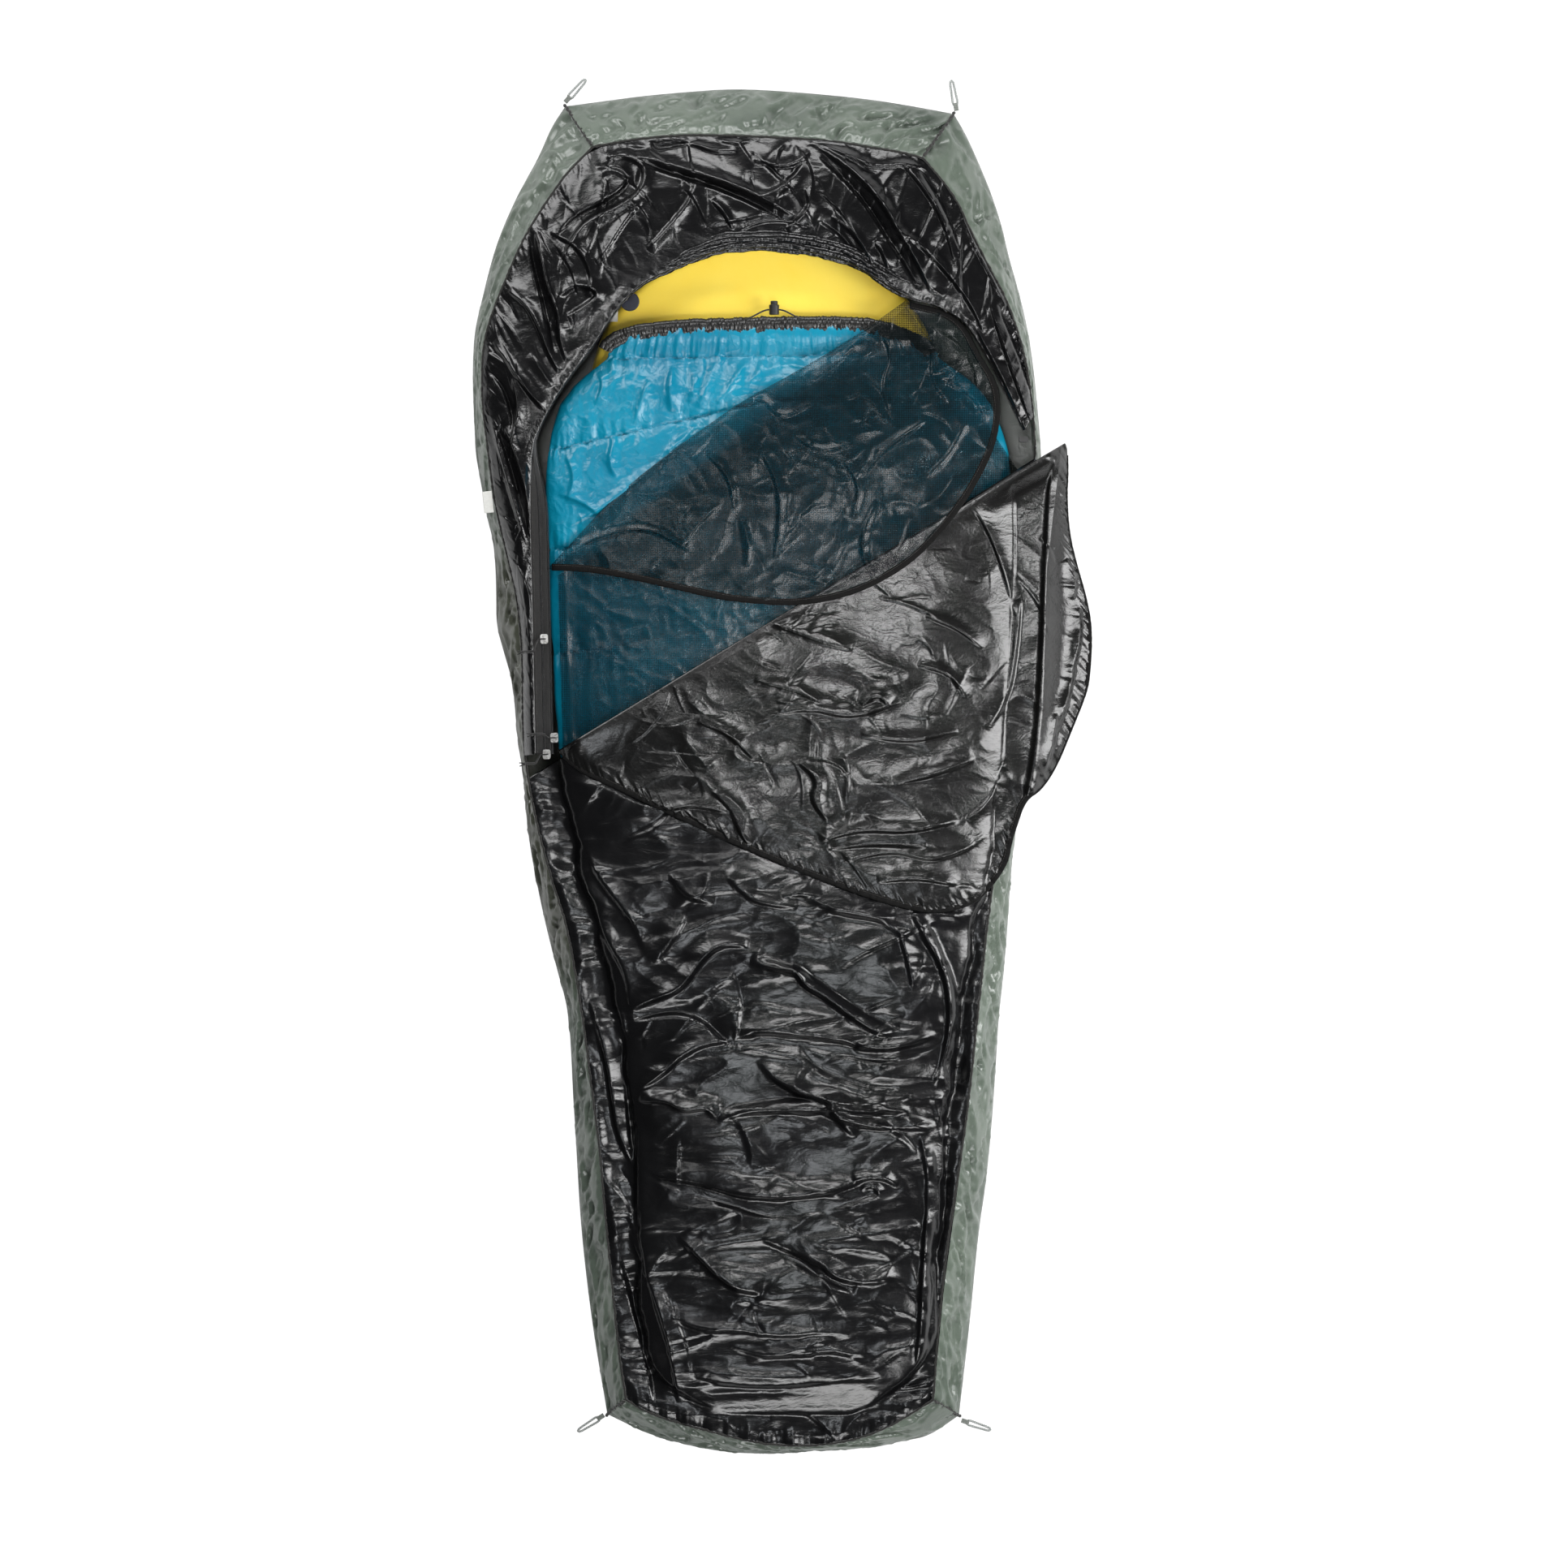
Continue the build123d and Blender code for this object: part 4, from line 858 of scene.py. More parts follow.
LABEL = webbing("blank_woven_label", dark=(205, 205, 200), light=(240, 240, 236), pitch_mm=0.5,
                roughness=0.8)
TAB_WEBBING = webbing("loop_tab_webbing", dark=(92, 96, 92), light=(140, 144, 138),
                      pitch_mm=1.0)
BLACK_PLASTIC = plastic("moulded_black_plastic", dark=(16, 16, 17), light=(30, 30, 31))
COIL_PLASTIC = plastic("nylon_zip_coil", dark=(14, 14, 15), light=(34, 34, 36), roughness=0.35)
VALVE_PLASTIC = plastic("mattress_valve_plastic", dark=(16, 20, 34), light=(30, 36, 56))
PLATED_METAL = metal("plated_zip_slider", dark=(150, 148, 144), light=(226, 226, 224))
STEEL = metal("spring_wire", dark=(120, 120, 120), light=(190, 190, 188))
NET = insect_net("insect_net_mesh", thread=(5, 13, 15), hole_level=0.155, hole_blur=0.12,
                 mesh_mm=1.0)


# ---------------------------------------------------------------- shared surfaces
def bag_outline():
    """Fine stations of the bag: y, centre x, half width and crown z."""
    station_y, left, right, crown = np.array(BAG_STATIONS, float).T
    y = np.arange(-1000.0, 656.0, 15.0)
    slack = smoothstep((120 - y) / 260.0)
    toe = np.sqrt(1 - 0.62 * np.clip((-890 - y) / 115.0, 0, 1) ** 2.2)

    def side(stations, wave, ripple, seed):
        wander = 9.0 * noise(y / wave, 0.3, seed) + 4.0 * noise(y / ripple, 0.3, seed + 1)
        return np.interp(y, station_y, stations) + slack * wander

    left = side(left, wave=88.0, ripple=37.0, seed=17)
    right = side(right, wave=92.0, ripple=34.0, seed=19)
    crown = np.interp(y, station_y, crown) - 14.0 * np.clip((-900 - y) / 100.0, 0, 1) ** 1.6
    return y, (left + right) / 2, (right - left) / 2 * toe, crown


BAG_Y, BAG_CENTRE, BAG_HALF, BAG_CROWN = bag_outline()


def bag_middle(y):
    """Centre x and half width of the bag."""
    return np.interp(y, BAG_Y, BAG_CENTRE), np.interp(y, BAG_Y, BAG_HALF)


def toward_toe(y):
    """0 down to y = -600, then up to 1 at y = -1000."""
    return np.clip((-600 - y) / 400, 0, 1)


def seam_z(y):
    """Height of the seam between the tub and the top."""
    return 85.0 - 13.0 * np.clip((-600 - y) / 460.0, 0, 1)


def bag_dome(x, y, lift):
    """Smooth crown of the sleeping bag under the cloth."""
    centre, half = bag_middle(y)
    crown = np.interp(y, BAG_Y, BAG_CROWN)
    across = np.abs((x - centre) / half)
    flank = 80.0 - 10 * toward_toe(y)
    inside = flank + (crown - flank) * np.clip(1 - across ** 2.6, 0, 1) ** 0.42
    outside = flank - np.clip((across - 1) * half, 0, 60) * 1.1
    ends = np.clip((y + 1010) / 60.0, 0, 1) ** 0.5
    return np.where(across < 1, inside, outside) * ends + (flank - 6) * (1 - ends) + lift


def storm_surface(x, y):
    """Folded-back storm door: over the bag, across to the right wall, then hanging."""
    crease = np.interp(y, [-60, 100, 316, 515], [408, 426, 432, 456])
    over = np.clip(x - crease, 0, 200)
    z = smooth_max(bag_dome(x, y, lift=12.5), 97.0, blend=10.0)
    return z - 0.62 * over - 6.0 * smoothstep(over / 40.0)


def net_surface(x, y):
    """Insect net resting on the bag, held up beside it."""
    return smooth_max(bag_dome(x, y, lift=4.5), 96.0, blend=10.0)


FOLD_START, FOLD_END = np.array(STORM_FOLD)
FOLD_LENGTH = np.linalg.norm(FOLD_END - FOLD_START)
FOLD_X, FOLD_Y = (FOLD_END - FOLD_START) / FOLD_LENGTH


def from_fold(x, y):
    """Distance past the storm door's fold line to the head side, and distance along it."""
    x, y = x - FOLD_START[0], y - FOLD_START[1]
    return FOLD_X * y - FOLD_Y * x, FOLD_X * x + FOLD_Y * y


def fold_ridge(x, y, z, top):
    """Raises a cloth to the roll at the storm door's fold line."""
    beyond, reach = from_fold(x, y)
    weight = (np.exp(-(beyond / 24.0) ** 2) * smoothstep(reach / 40.0)
              * smoothstep((FOLD_LENGTH - reach) / 40.0))
    return z + np.clip(top - z, 0, None) * weight


# ---------------------------------------------------------------- sleeping bag
RING_POINTS = 540
BAG_UNDERSIDE = 59
COLLAR_Y = 655
HEM_Z = 84.0


def baffle_seams(x):
    """y of each stitched seam across the bag, foot to head."""
    return np.stack([
        -760 + 0 * x, -560 + 0 * x, -380 + 0 * x, -230 + 0.02 * x, -105 + 0.06 * x,
        66 + 0.13 * x, 236 + 0.16 * x, 412 + 0.19 * np.minimum(x, 60),
        583 + 0.231 * np.minimum(x, 0) + 0.06 * np.maximum(x, 0)
        - 0.00035 * np.maximum(x, 0) ** 2,
        652 + 0.02 * x])


def baffle_relief(x, y):
    """Drop towards each stitched seam, with gathers fanning out of it."""
    low = np.full(x.shape, -1010.0)
    high = np.full(x.shape, 720.0)
    for seam in baffle_seams(x):
        low = np.where(seam <= y, np.maximum(low, seam), low)
        high = np.where(seam > y, np.minimum(high, seam), high)
    share = np.clip((y - low) / np.maximum(high - low, 1.0), 0, 1)
    distance = np.minimum(y - low, high - y)
    depth = 10.5 * np.clip((high - low) / 160.0, 0.35, 1.0)
    half = np.sign(y - (low + high) / 2)
    wide = 3.8 * np.exp(-distance / 34.0) * noise(
        x / 15.0 + 0.004 * distance, half * 0.7 + distance / 120.0, 101)
    narrow = 2.8 * np.exp(-distance / 14.0) * noise(x / 7.0, half * 0.9 + distance / 60.0, 102)
    soft = (2.2 * noise(x / 75.0, y / 60.0, 103)
            + 2.4 * (crease_noise(x / 55.0, y / 42.0, 104) - 0.45)
            + 1.2 * (crease_noise(x / 19.0, y / 26.0, 105) - 0.45))
    return wide + narrow + soft - depth * (1 - np.sin(np.pi * share) ** 0.42)


def collar_rings(lip, centre_x, middle_z):
    """Rings that carry the bag's open end on to the hem, then tuck it in."""
    upper = np.clip((lip[:, 2] - middle_z) / 8.0, -1, 1)
    top = np.clip(upper, 0, 1)
    hem_y = np.interp(lip[:, 0], *np.array(BAG_HEM).T)
    rings = []
    for share in (0.12, 0.28, 0.45, 0.62, 0.8, 1.0):
        gathers = (1.6 * noise(lip[:, 0] / 7.0, share * 0.5, 107)
                   + 1.3 * noise(lip[:, 0] / 3.6, share * 0.4, 108))
        puff = 5.5 * math.sin(math.pi * share * 0.92)
        rings.append(np.column_stack([
            centre_x + (lip[:, 0] - centre_x) * (1 - 0.035 * share),
            COLLAR_Y + (hem_y - 2.0 - COLLAR_Y) * share,
            lip[:, 2] + (HEM_Z + 4.0 * upper - lip[:, 2]) * share + (puff + gathers) * top]))
    for share in (0.6, 0.2):
        ring = rings[5].copy()
        ring[:, 1] += 2.0
        ring[:, 2] = HEM_Z + (ring[:, 2] - HEM_Z) * share
        rings.append(ring)
    return rings


def bag_body():
    y = np.concatenate([np.linspace(-1000, -960, 8), np.linspace(-950, 180, 80),
                        np.linspace(183, COLLAR_Y, 230)])[:, None]
    angle = np.linspace(0, 2 * math.pi, RING_POINTS, endpoint=False)[None]
    cosine, sine = np.cos(angle), np.sin(angle)
    centre, half = bag_middle(y)
    crown = np.interp(y, BAG_Y, BAG_CROWN)
    # flatter at both ends
    fullness = (0.62 + 0.38 * np.clip((y + 1000) / 60, 0, 1) ** 0.6
                - 0.45 * np.clip((y - 605) / 50, 0, 1))
    middle = np.minimum(85.0, BAG_UNDERSIDE + (crown - BAG_UNDERSIDE) * 0.5)
    middle = middle + (76.0 - middle) * toward_toe(y)
    x = centre + half * signed_power(cosine, 0.85)
    rise = np.where(sine > 0, crown - middle, middle - BAG_UNDERSIDE)
    z = middle + signed_power(sine, 0.75) * rise * fullness
    y = y + 0 * x
    relief = baffle_relief(x, y)
    top = smoothstep((sine + 0.05) / 0.45)
    ends = smoothstep((y + 1000) / 30.0) * smoothstep((660 - y) / 10.0)
    z = z + top * ends * relief
    side = (1 - top) * ends * np.clip(sine + 1, 0, 1)
    x = x + side * relief * 0.35 * np.sign(cosine)
    z = add_folds(x, y, z, FOLDS_BAG, 1.5, top * ends)
    body = surface(x, y, z)

    toe_centre = np.array([centre[0, 0], -1000.0, middle[0, 0]])
    toe_rings = []
    for share, setback in ((0.02, -4.0), (0.3, -5.0), (0.65, -4.5), (0.9, -2.5)):
        ring = toe_centre + (body[0] - toe_centre) * share
        ring[:, 1] = -1000 + setback
        toe_rings.append(ring)
    collar = collar_rings(body[-1], centre[-1, 0], middle[-1, 0])
    rings = np.concatenate([toe_rings, body, collar])
    size = rings.shape[0] * RING_POINTS
    end_centres = [toe_centre + (0, -4.0, 0), (centre[-1, 0], 701.0, HEM_Z)]
    caps = [fan(size, 0, RING_POINTS, backward=True),
            fan(size + 1, size - RING_POINTS, RING_POINTS)]
    part = (np.concatenate([rings.reshape(-1, 3), end_centres]),
            grid_faces(rings.shape[0], RING_POINTS, closed=True), np.concatenate(caps))
    obj = join_parts("bag_body", [part], BAG_NYLON)
    face_outward(obj)
    return attach(obj, "sleeping_bag", "sleeping_bag_shell")


bag_mesh = bag_body().data
BAG_TREE = BVHTree.FromPolygons([vertex.co[:] for vertex in bag_mesh.vertices],
                                [polygon.vertices[:] for polygon in bag_mesh.polygons])


def bag_height(x, y):
    """Top of the bag at one place, 40 where there is no bag."""
    hit = BAG_TREE.ray_cast(Vector((x * MM, y * MM, 0.3)), Vector((0, 0, -1)))[0]
    return 40.0 if hit is None else hit.z / MM


def bag_stitching():
    """Thread along the five seams nearest the head."""
    x = np.linspace(-345, 372, 300)
    runs = []
    for y in baffle_seams(x)[5:]:
        centre, half = bag_middle(y)
        inside = np.abs(x - centre) < half - 22
        line = np.array([(a, b, bag_height(a, b) + 0.15) for a, b in zip(x[inside], y[inside])])
        runs += stitch_runs(line, first=2.0, pitch=4.2, length=2.6, count=4)
    obj = cords("bag_seam_stitching", runs, 0.3, BLUE_THREAD, sides=5)
    attach(obj, "sleeping_bag")


def bag_hem():
    """Three crinkled rolls side by side along the bag's open end."""
    hem = resample([(-262, 662)] + BAG_HEM + [(252, 656)], 700)
    length = travelled(hem)
    taper = np.sin(np.pi * np.linspace(0.10, 0.90, len(hem))) ** 0.4
    parts = []
    # offset, z, radius, squash
    rolls = ((-1.0, 83.0, 12.5, 0.70), (5.0, 86.5, 7.5, 0.7), (-8.0, 85.0, 7.5, 0.75))
    for i, (offset, z, radius, squash) in enumerate(rolls):
        line = offset_line(with_z(hem, z), offset, rise=1.2 * noise(length / 15.0, i, 112))
        line[:, 1] += 1.3 * noise(length / 18.0, i, 111)
        crinkle = (1 + 0.17 * noise(length / 4.2, i, 113) + 0.12 * noise(length / 2.0, i, 114)
                   + 0.12 * noise(length / 14.0, i, 115))
        radii = np.maximum(radius * taper * crinkle, 1.0)
        parts.append(tube(line, radii, sides=18, squash=squash))
    obj = join_parts("bag_hem_roll", parts, HEM_NYLON)
    attach(obj, "sleeping_bag", "sleeping_bag_hem")


def bag_drawcord():
    lock_x, lock_y, lock_z = 5.0, 724.5, 82.0
    # distance from the lock, y, z
    arm = [(52, 706, 90), (36, 712, 91), (22, 720, 87), (12, lock_y, lock_z)]
    left = [(lock_x - reach, y, z) for reach, y, z in arm]
    right = [(lock_x + reach, y, z) for reach, y, z in reversed(arm)]
    path = resample(left + [(lock_x, lock_y, lock_z)] + right, 120)
    obj = cords("bag_drawcord_braid", [path], 1.3 + 0.12 * np.sin(np.arange(120) * 1.3),
                BLACK_CORD)
    attach(obj, "sleeping_bag", "bag_drawcord")


bag_stitching()
bag_hem()
bag_drawcord()

# height map of the bag, so that no cloth sinks into it
MAP_STEP = 6.0
MAP_X = np.arange(-420, 441, MAP_STEP)
MAP_Y = np.arange(-1080, 741, MAP_STEP)


def bag_height_map():
    heights = np.array([[bag_height(x, y) for x in MAP_X] for y in MAP_Y])

    def neighbours():
        return [np.roll(heights, step, axis) for axis in (0, 1) for step in (1, -1)]

    for _ in range(2):
        heights = np.maximum.reduce([heights] + neighbours())
    for _ in range(3):
        heights = (heights * 2 + sum(neighbours())) / 6
    return np.maximum.reduce([np.roll(heights, step, 0) for step in range(6)])


BAG_HEIGHTS = bag_height_map()


def over_bag(x, y, z, gap):
    """Lifts a cloth that would sink into the bag."""
    across = np.clip((x - MAP_X[0]) / MAP_STEP, 0, len(MAP_X) - 1.001)
    up = np.clip((y - MAP_Y[0]) / MAP_STEP, 0, len(MAP_Y) - 1.001)
    column, row = across.astype(int), up.astype(int)
    across, up = across - column, up - row
    low, high = [BAG_HEIGHTS[i, column] * (1 - across) + BAG_HEIGHTS[i, column + 1] * across
                 for i in (row, row + 1)]
    return smooth_max(z, low * (1 - up) + high * up + gap, blend=5.0)


# ---------------------------------------------------------------- tub
def tub_wall(side, ground, seam, columns, seed, rows=22, bulge=2.0):
    """A slumped wall from the ground line up to the seam."""
    foot, top = resample(ground, columns), resample(seam, columns)
    share = np.linspace(0, 1, rows)[:, None]
    outward = foot - top
    outward /= np.maximum(np.hypot(*outward.T), 1.0)[:, None]
    length = travelled(foot)[None, :]
    height = share * 90.0
    middle = np.sin(np.pi * share)
    # long slack waves, two sizes of oblique creases, then gathers below the seam
    sway = 4.5 * noise(length / 110.0, height / 60.0 + seed, seed) * middle
    sway += 13.0 * middle ** 0.6 * (
        crease_noise(length / 62.0 + 0.5 * height / 30.0, height / 42.0, seed + 3) - 0.55)
    sway += 6.0 * middle ** 0.5 * (
        crease_noise(length / 27.0 + 0.4 * height / 20.0, height / 26.0, seed + 5) - 0.5)
    gathered = smoothstep((share - 0.45) / 0.5) * (1 - share ** 10)
    sway += 1.8 * noise(length / 8.0, height / 50.0, seed + 8) * gathered
    sway += bulge * middle
    push = np.clip(sway, -9, 5.5) * 0.8
    x = foot[:, 0] * (1 - share) + top[:, 0] * share + outward[:, 0] * push
    y = foot[:, 1] * (1 - share) + top[:, 1] * share + outward[:, 1] * push
    z = 0.8 + (seam_z(top[:, 1]) - 1.0) * share ** 0.9
    z += np.clip(sway, -7, 7) * 0.85 * (share < 0.999) * smoothstep(share / 0.1)
    points = surface(x, y, np.maximum(z, 0.6))
    obj = cloth("tub_" + side, points, TUB_NYLON, thickness=0.6, up=False)
    attach(obj, "sack", "tub_wall_" + side)
    face_outward(obj)


def corner_gathers():
    """A gathered cord up each corner of the tub."""
    draw = np.random.default_rng(3)
    share = np.linspace(0, 1, 40)
    parts = []
    for i in (0, -1):
        for ground, seam in ((OUT_LEFT[i], SEAM_LEFT[i]), (OUT_RIGHT[i], SEAM_RIGHT[i])):
            ground, seam = np.array(ground, float), np.array(seam, float)
            outward = (ground - seam) / np.linalg.norm(ground - seam)
            wobble = 1.2 * np.sin(share * 60) + draw.normal(0, 0.3, 40)
            sideways = np.array([-outward[1], outward[0]]) * wobble[:, None] * 0.6
            line = ground + (seam - ground) * share[:, None] + outward * 3 + sideways
            z = 5.0 + (seam_z(seam[1]) - 1) * share ** 0.9 + 0.5 * np.abs(wobble)
            parts.append(tube(with_z(line, z), 2.3 + 0.5 * np.sin(share * 75), squash=0.7))
    obj = join_parts("corner_gathers", parts, SEAM_BINDING)
    attach(obj, "sack", "corner_seam_tapes")


def seam_piping():
    """Gathered piping all round the seam between the tub and the top."""
    ring = np.concatenate([
        resample(SEAM_LEFT[::-1], 700, 1), resample(SEAM_HEAD, 200, 1)[1:-1],
        resample(SEAM_RIGHT, 700, 1), resample(SEAM_FOOT[::-1], 200, 1)[1:-1]])
    ring = np.concatenate([ring, ring[:1]])
    length = travelled(ring)
    wobble = 0.9 * noise(length / 5.0, 0, 31) + 0.8 * noise(length / 13.0, 0, 32)
    z = seam_z(ring[:, 1]) + 1.2 + 0.8 * np.abs(noise(length / 6.0, 0, 33))
    obj = cords("seam_piping", [offset_line(with_z(ring, z), wobble)],
                1.9 + 0.5 * noise(length / 4.0, 0, 34), SEAM_BINDING, squash=0.7)
    attach(obj, "sack", "seam_tape")


tub_wall("left", OUT_LEFT, SEAM_LEFT, columns=520, seed=2)
tub_wall("right", OUT_RIGHT, SEAM_RIGHT, columns=520, seed=5)
tub_wall("head", OUT_HEAD, SEAM_HEAD, columns=260, seed=9, rows=30, bulge=4.0)
tub_wall("foot", OUT_FOOT, SEAM_FOOT, columns=260, seed=14, rows=24, bulge=4.0)
corner_gathers()
seam_piping()


# ---------------------------------------------------------------- black foot top
def foot_crease_start(draw):
    """Creases run across the bag, and lengthwise near its sides."""
    y = draw.uniform(-1000, 0)
    centre, half = bag_middle(y)
    x = draw.uniform(centre - half - 10, centre + half + 10)
    across = (x - centre) / half
    side = abs(across) ** 5
    heading = (1 - side) * draw.normal(0, 0.35) + side * (math.pi / 2 + 0.1 * across)
    return x, y, heading


def foot_base(x, y, from_side):
    """Cloth over the bag, sinking into a slack trough before each side seam."""
    distance = from_side * (1 + 0.28 * noise(y / 70.0, np.sign(x) * 0.7, 23))
    seam = seam_z(y) + 1.5
    depth = 5.5 + 4.0 * noise(y / 95.0, np.sign(x) * 0.9, 24)
    trough = seam - depth * smoothstep(distance / 34.0)
    inside = smoothstep(distance / 14.0)
    z = smooth_max(bag_dome(x, y, lift=7.0), trough, blend=10.0)
    return z * inside + seam * (1 - inside)


def foot_top():
    rows, columns = 430, 260
    share = (np.linspace(0, 1, rows) ** 1.12)[:, None]
    across = np.linspace(0, 1, columns)[None, :]
    seam_y = -988
    left_y, right_y = seam_y + share * 976.0, seam_y + share * 1478.0
    left_x, right_x = by_y(SEAM_LEFT, left_y), by_y(SEAM_RIGHT, right_y)
    x = left_x + (right_x - left_x) * across
    y = left_y + (right_y - left_y) * across
    # the first rows follow the curved foot seam
    seam_x, seam_y = resample(SEAM_FOOT, columns).T
    pull_in = (1 - share) ** 9
    y = y * (1 - pull_in) + seam_y * pull_in
    x = x * (1 - 0.6 * pull_in) + seam_x * 0.6 * pull_in

    from_foot = y - np.interp(x, seam_x, seam_y)
    from_side = np.minimum(x - by_y(SEAM_LEFT, y), by_y(SEAM_RIGHT, y) - x)
    # the toe box rises from the foot seam
    toe = smoothstep(np.clip(from_foot, 0, None) / (50.0 + 22.0 * noise(x / 55.0, 0.3, 48)))
    z = foot_base(x, y, from_side) * toe + (seam_z(y) + 1.5) * (1 - toe)
    # relief fades out at the seams and under the storm door
    door_y = np.interp(x, *np.array(STORM_EDGE).T)
    hidden = smoothstep((y - door_y + 12) / 24.0)
    show = 1 - 0.92 * hidden
    mask = smoothstep(np.minimum(from_side, from_foot) / 16.0) * show
    z = add_folds(x, y, z, FOLDS_FOOT, 2.4, mask, gentle=2.0)
    draw = np.random.default_rng(21)
    large = random_folds(draw, 60, foot_crease_start, length=(60, 200), width=(5.5, 12),
                         height=(2.0, 5.5), bend=0.3)
    z = add_folds(x, y, z, large, 1.0, mask, gentle=2.0)
    small = random_folds(draw, 150, foot_crease_start, length=(20, 90), width=(2.4, 5.0),
                         height=(0.5, 1.8), bend=0.3)
    z = add_folds(x, y, z, small, 1.0, mask)
    z += mask * (6.0 * noise(x / 170.0, y / 85.0, 41)
                 + 6.5 * (crease_noise(x / 180.0, y / 66.0, 42) - 0.5)
                 + 2.0 * (crease_noise(x / 85.0, y / 34.0, 43) - 0.5)
                 + 0.30 * (crease_noise(x / 30.0, y / 15.0, 49) - 0.5))
    # gathers along the side seams, then along the foot seam
    gathers = (1 - smoothstep(from_side / 18.0)) * smoothstep(from_side / 2.0)
    z += show * gathers * (1.1 * noise(y / 9.0, from_side / 60.0, 44)
                           + 0.8 * noise(y / 4.5, from_side / 40.0, 45))
    gathers = (1 - smoothstep(from_foot / 46.0)) * smoothstep(from_foot / 2.0)
    z += gathers * (5.0 * noise(x / 24.0, from_foot / 70.0, 46)
                    + 1.0 * noise(x / 8.0, from_foot / 60.0, 47))
    z = over_bag(x, y, z - hidden * 1.5, gap=1.6)
    z = np.where(hidden > 0.5, np.minimum(z, bag_dome(x, y, lift=9.5)), z)
    z = fold_ridge(x, y, over_bag(x, y, z, gap=1.2), top=123.6)

    # the cloth runs on to the fold line and up into the door's roll
    points = surface(x, y, z)
    x, y, z = points[-1].T
    beyond, reach = from_fold(x, y)
    taper = smoothstep(reach / 30.0) * smoothstep((FOLD_LENGTH - reach) / 30.0)
    shift = (-1.6 - beyond) * taper
    climb = np.clip(129.1 - z, 0, None) * taper
    moves = ((0.35, 0.0), (0.7, 0.0), (1.0, 0.0), (1.0, 0.35), (1.0, 0.7), (1.0, 1.0))
    extra = [np.column_stack([x - FOLD_Y * shift * run, y + FOLD_X * shift * run,
                              z + climb * rise]) for run, rise in moves]
    obj = cloth("foot_top", np.concatenate([points, extra]), BLACK_NYLON, thickness=0.6)
    attach(obj, "sack", "foot_panel")


foot_top()

# ---------------------------------------------------------------- black hood
HOOD_COLUMNS = 900
HOOD_ROWS = 84
RIM_FROM_ZIP = 18.5  # the hood's edge lies this far left of the side zip


def side_zip_x(y):
    return SIDE_ZIP_X_START + (SIDE_ZIP_X_END - SIDE_ZIP_X_START) * y / SIDE_ZIP_END_Y


RIM = resample(
    [(side_zip_x(26) - RIM_FROM_ZIP, 26.0),
     ((SIDE_ZIP_X_START + SIDE_ZIP_X_END) / 2 - RIM_FROM_ZIP, 250.0),
     (SIDE_ZIP_X_END - RIM_FROM_ZIP, SIDE_ZIP_END_Y)] + RIM_ARC, HOOD_COLUMNS)
RIM_INWARD = -left_normals(RIM)
RIM_SHARE = np.linspace(0, 1, HOOD_COLUMNS)
RIM_Z = np.interp(RIM_SHARE, [0, 0.30, 0.45, 0.80, 1.0], [121.0, 121.0, 117.0, 117.0, 100.0])
HOOD_SEAM = resample(
    [(-387, 24)] + [point for point in SEAM_LEFT[::-1] if point[1] > 30] + SEAM_HEAD[1:-1]
    + [point for point in SEAM_RIGHT if point[1] > 530], HOOD_COLUMNS, 1)


def hood_crease_start(draw):
    """Creases run between the hood's edge and its seam."""
    i = int(draw.integers(0, HOOD_COLUMNS))
    x, y = HOOD_SEAM[i] + (RIM[i] - HOOD_SEAM[i]) * draw.uniform(0.05, 0.95)
    across = HOOD_SEAM[i] - RIM[i]
    return x, y, math.atan2(across[1], across[0]) + draw.normal(0, 0.25)


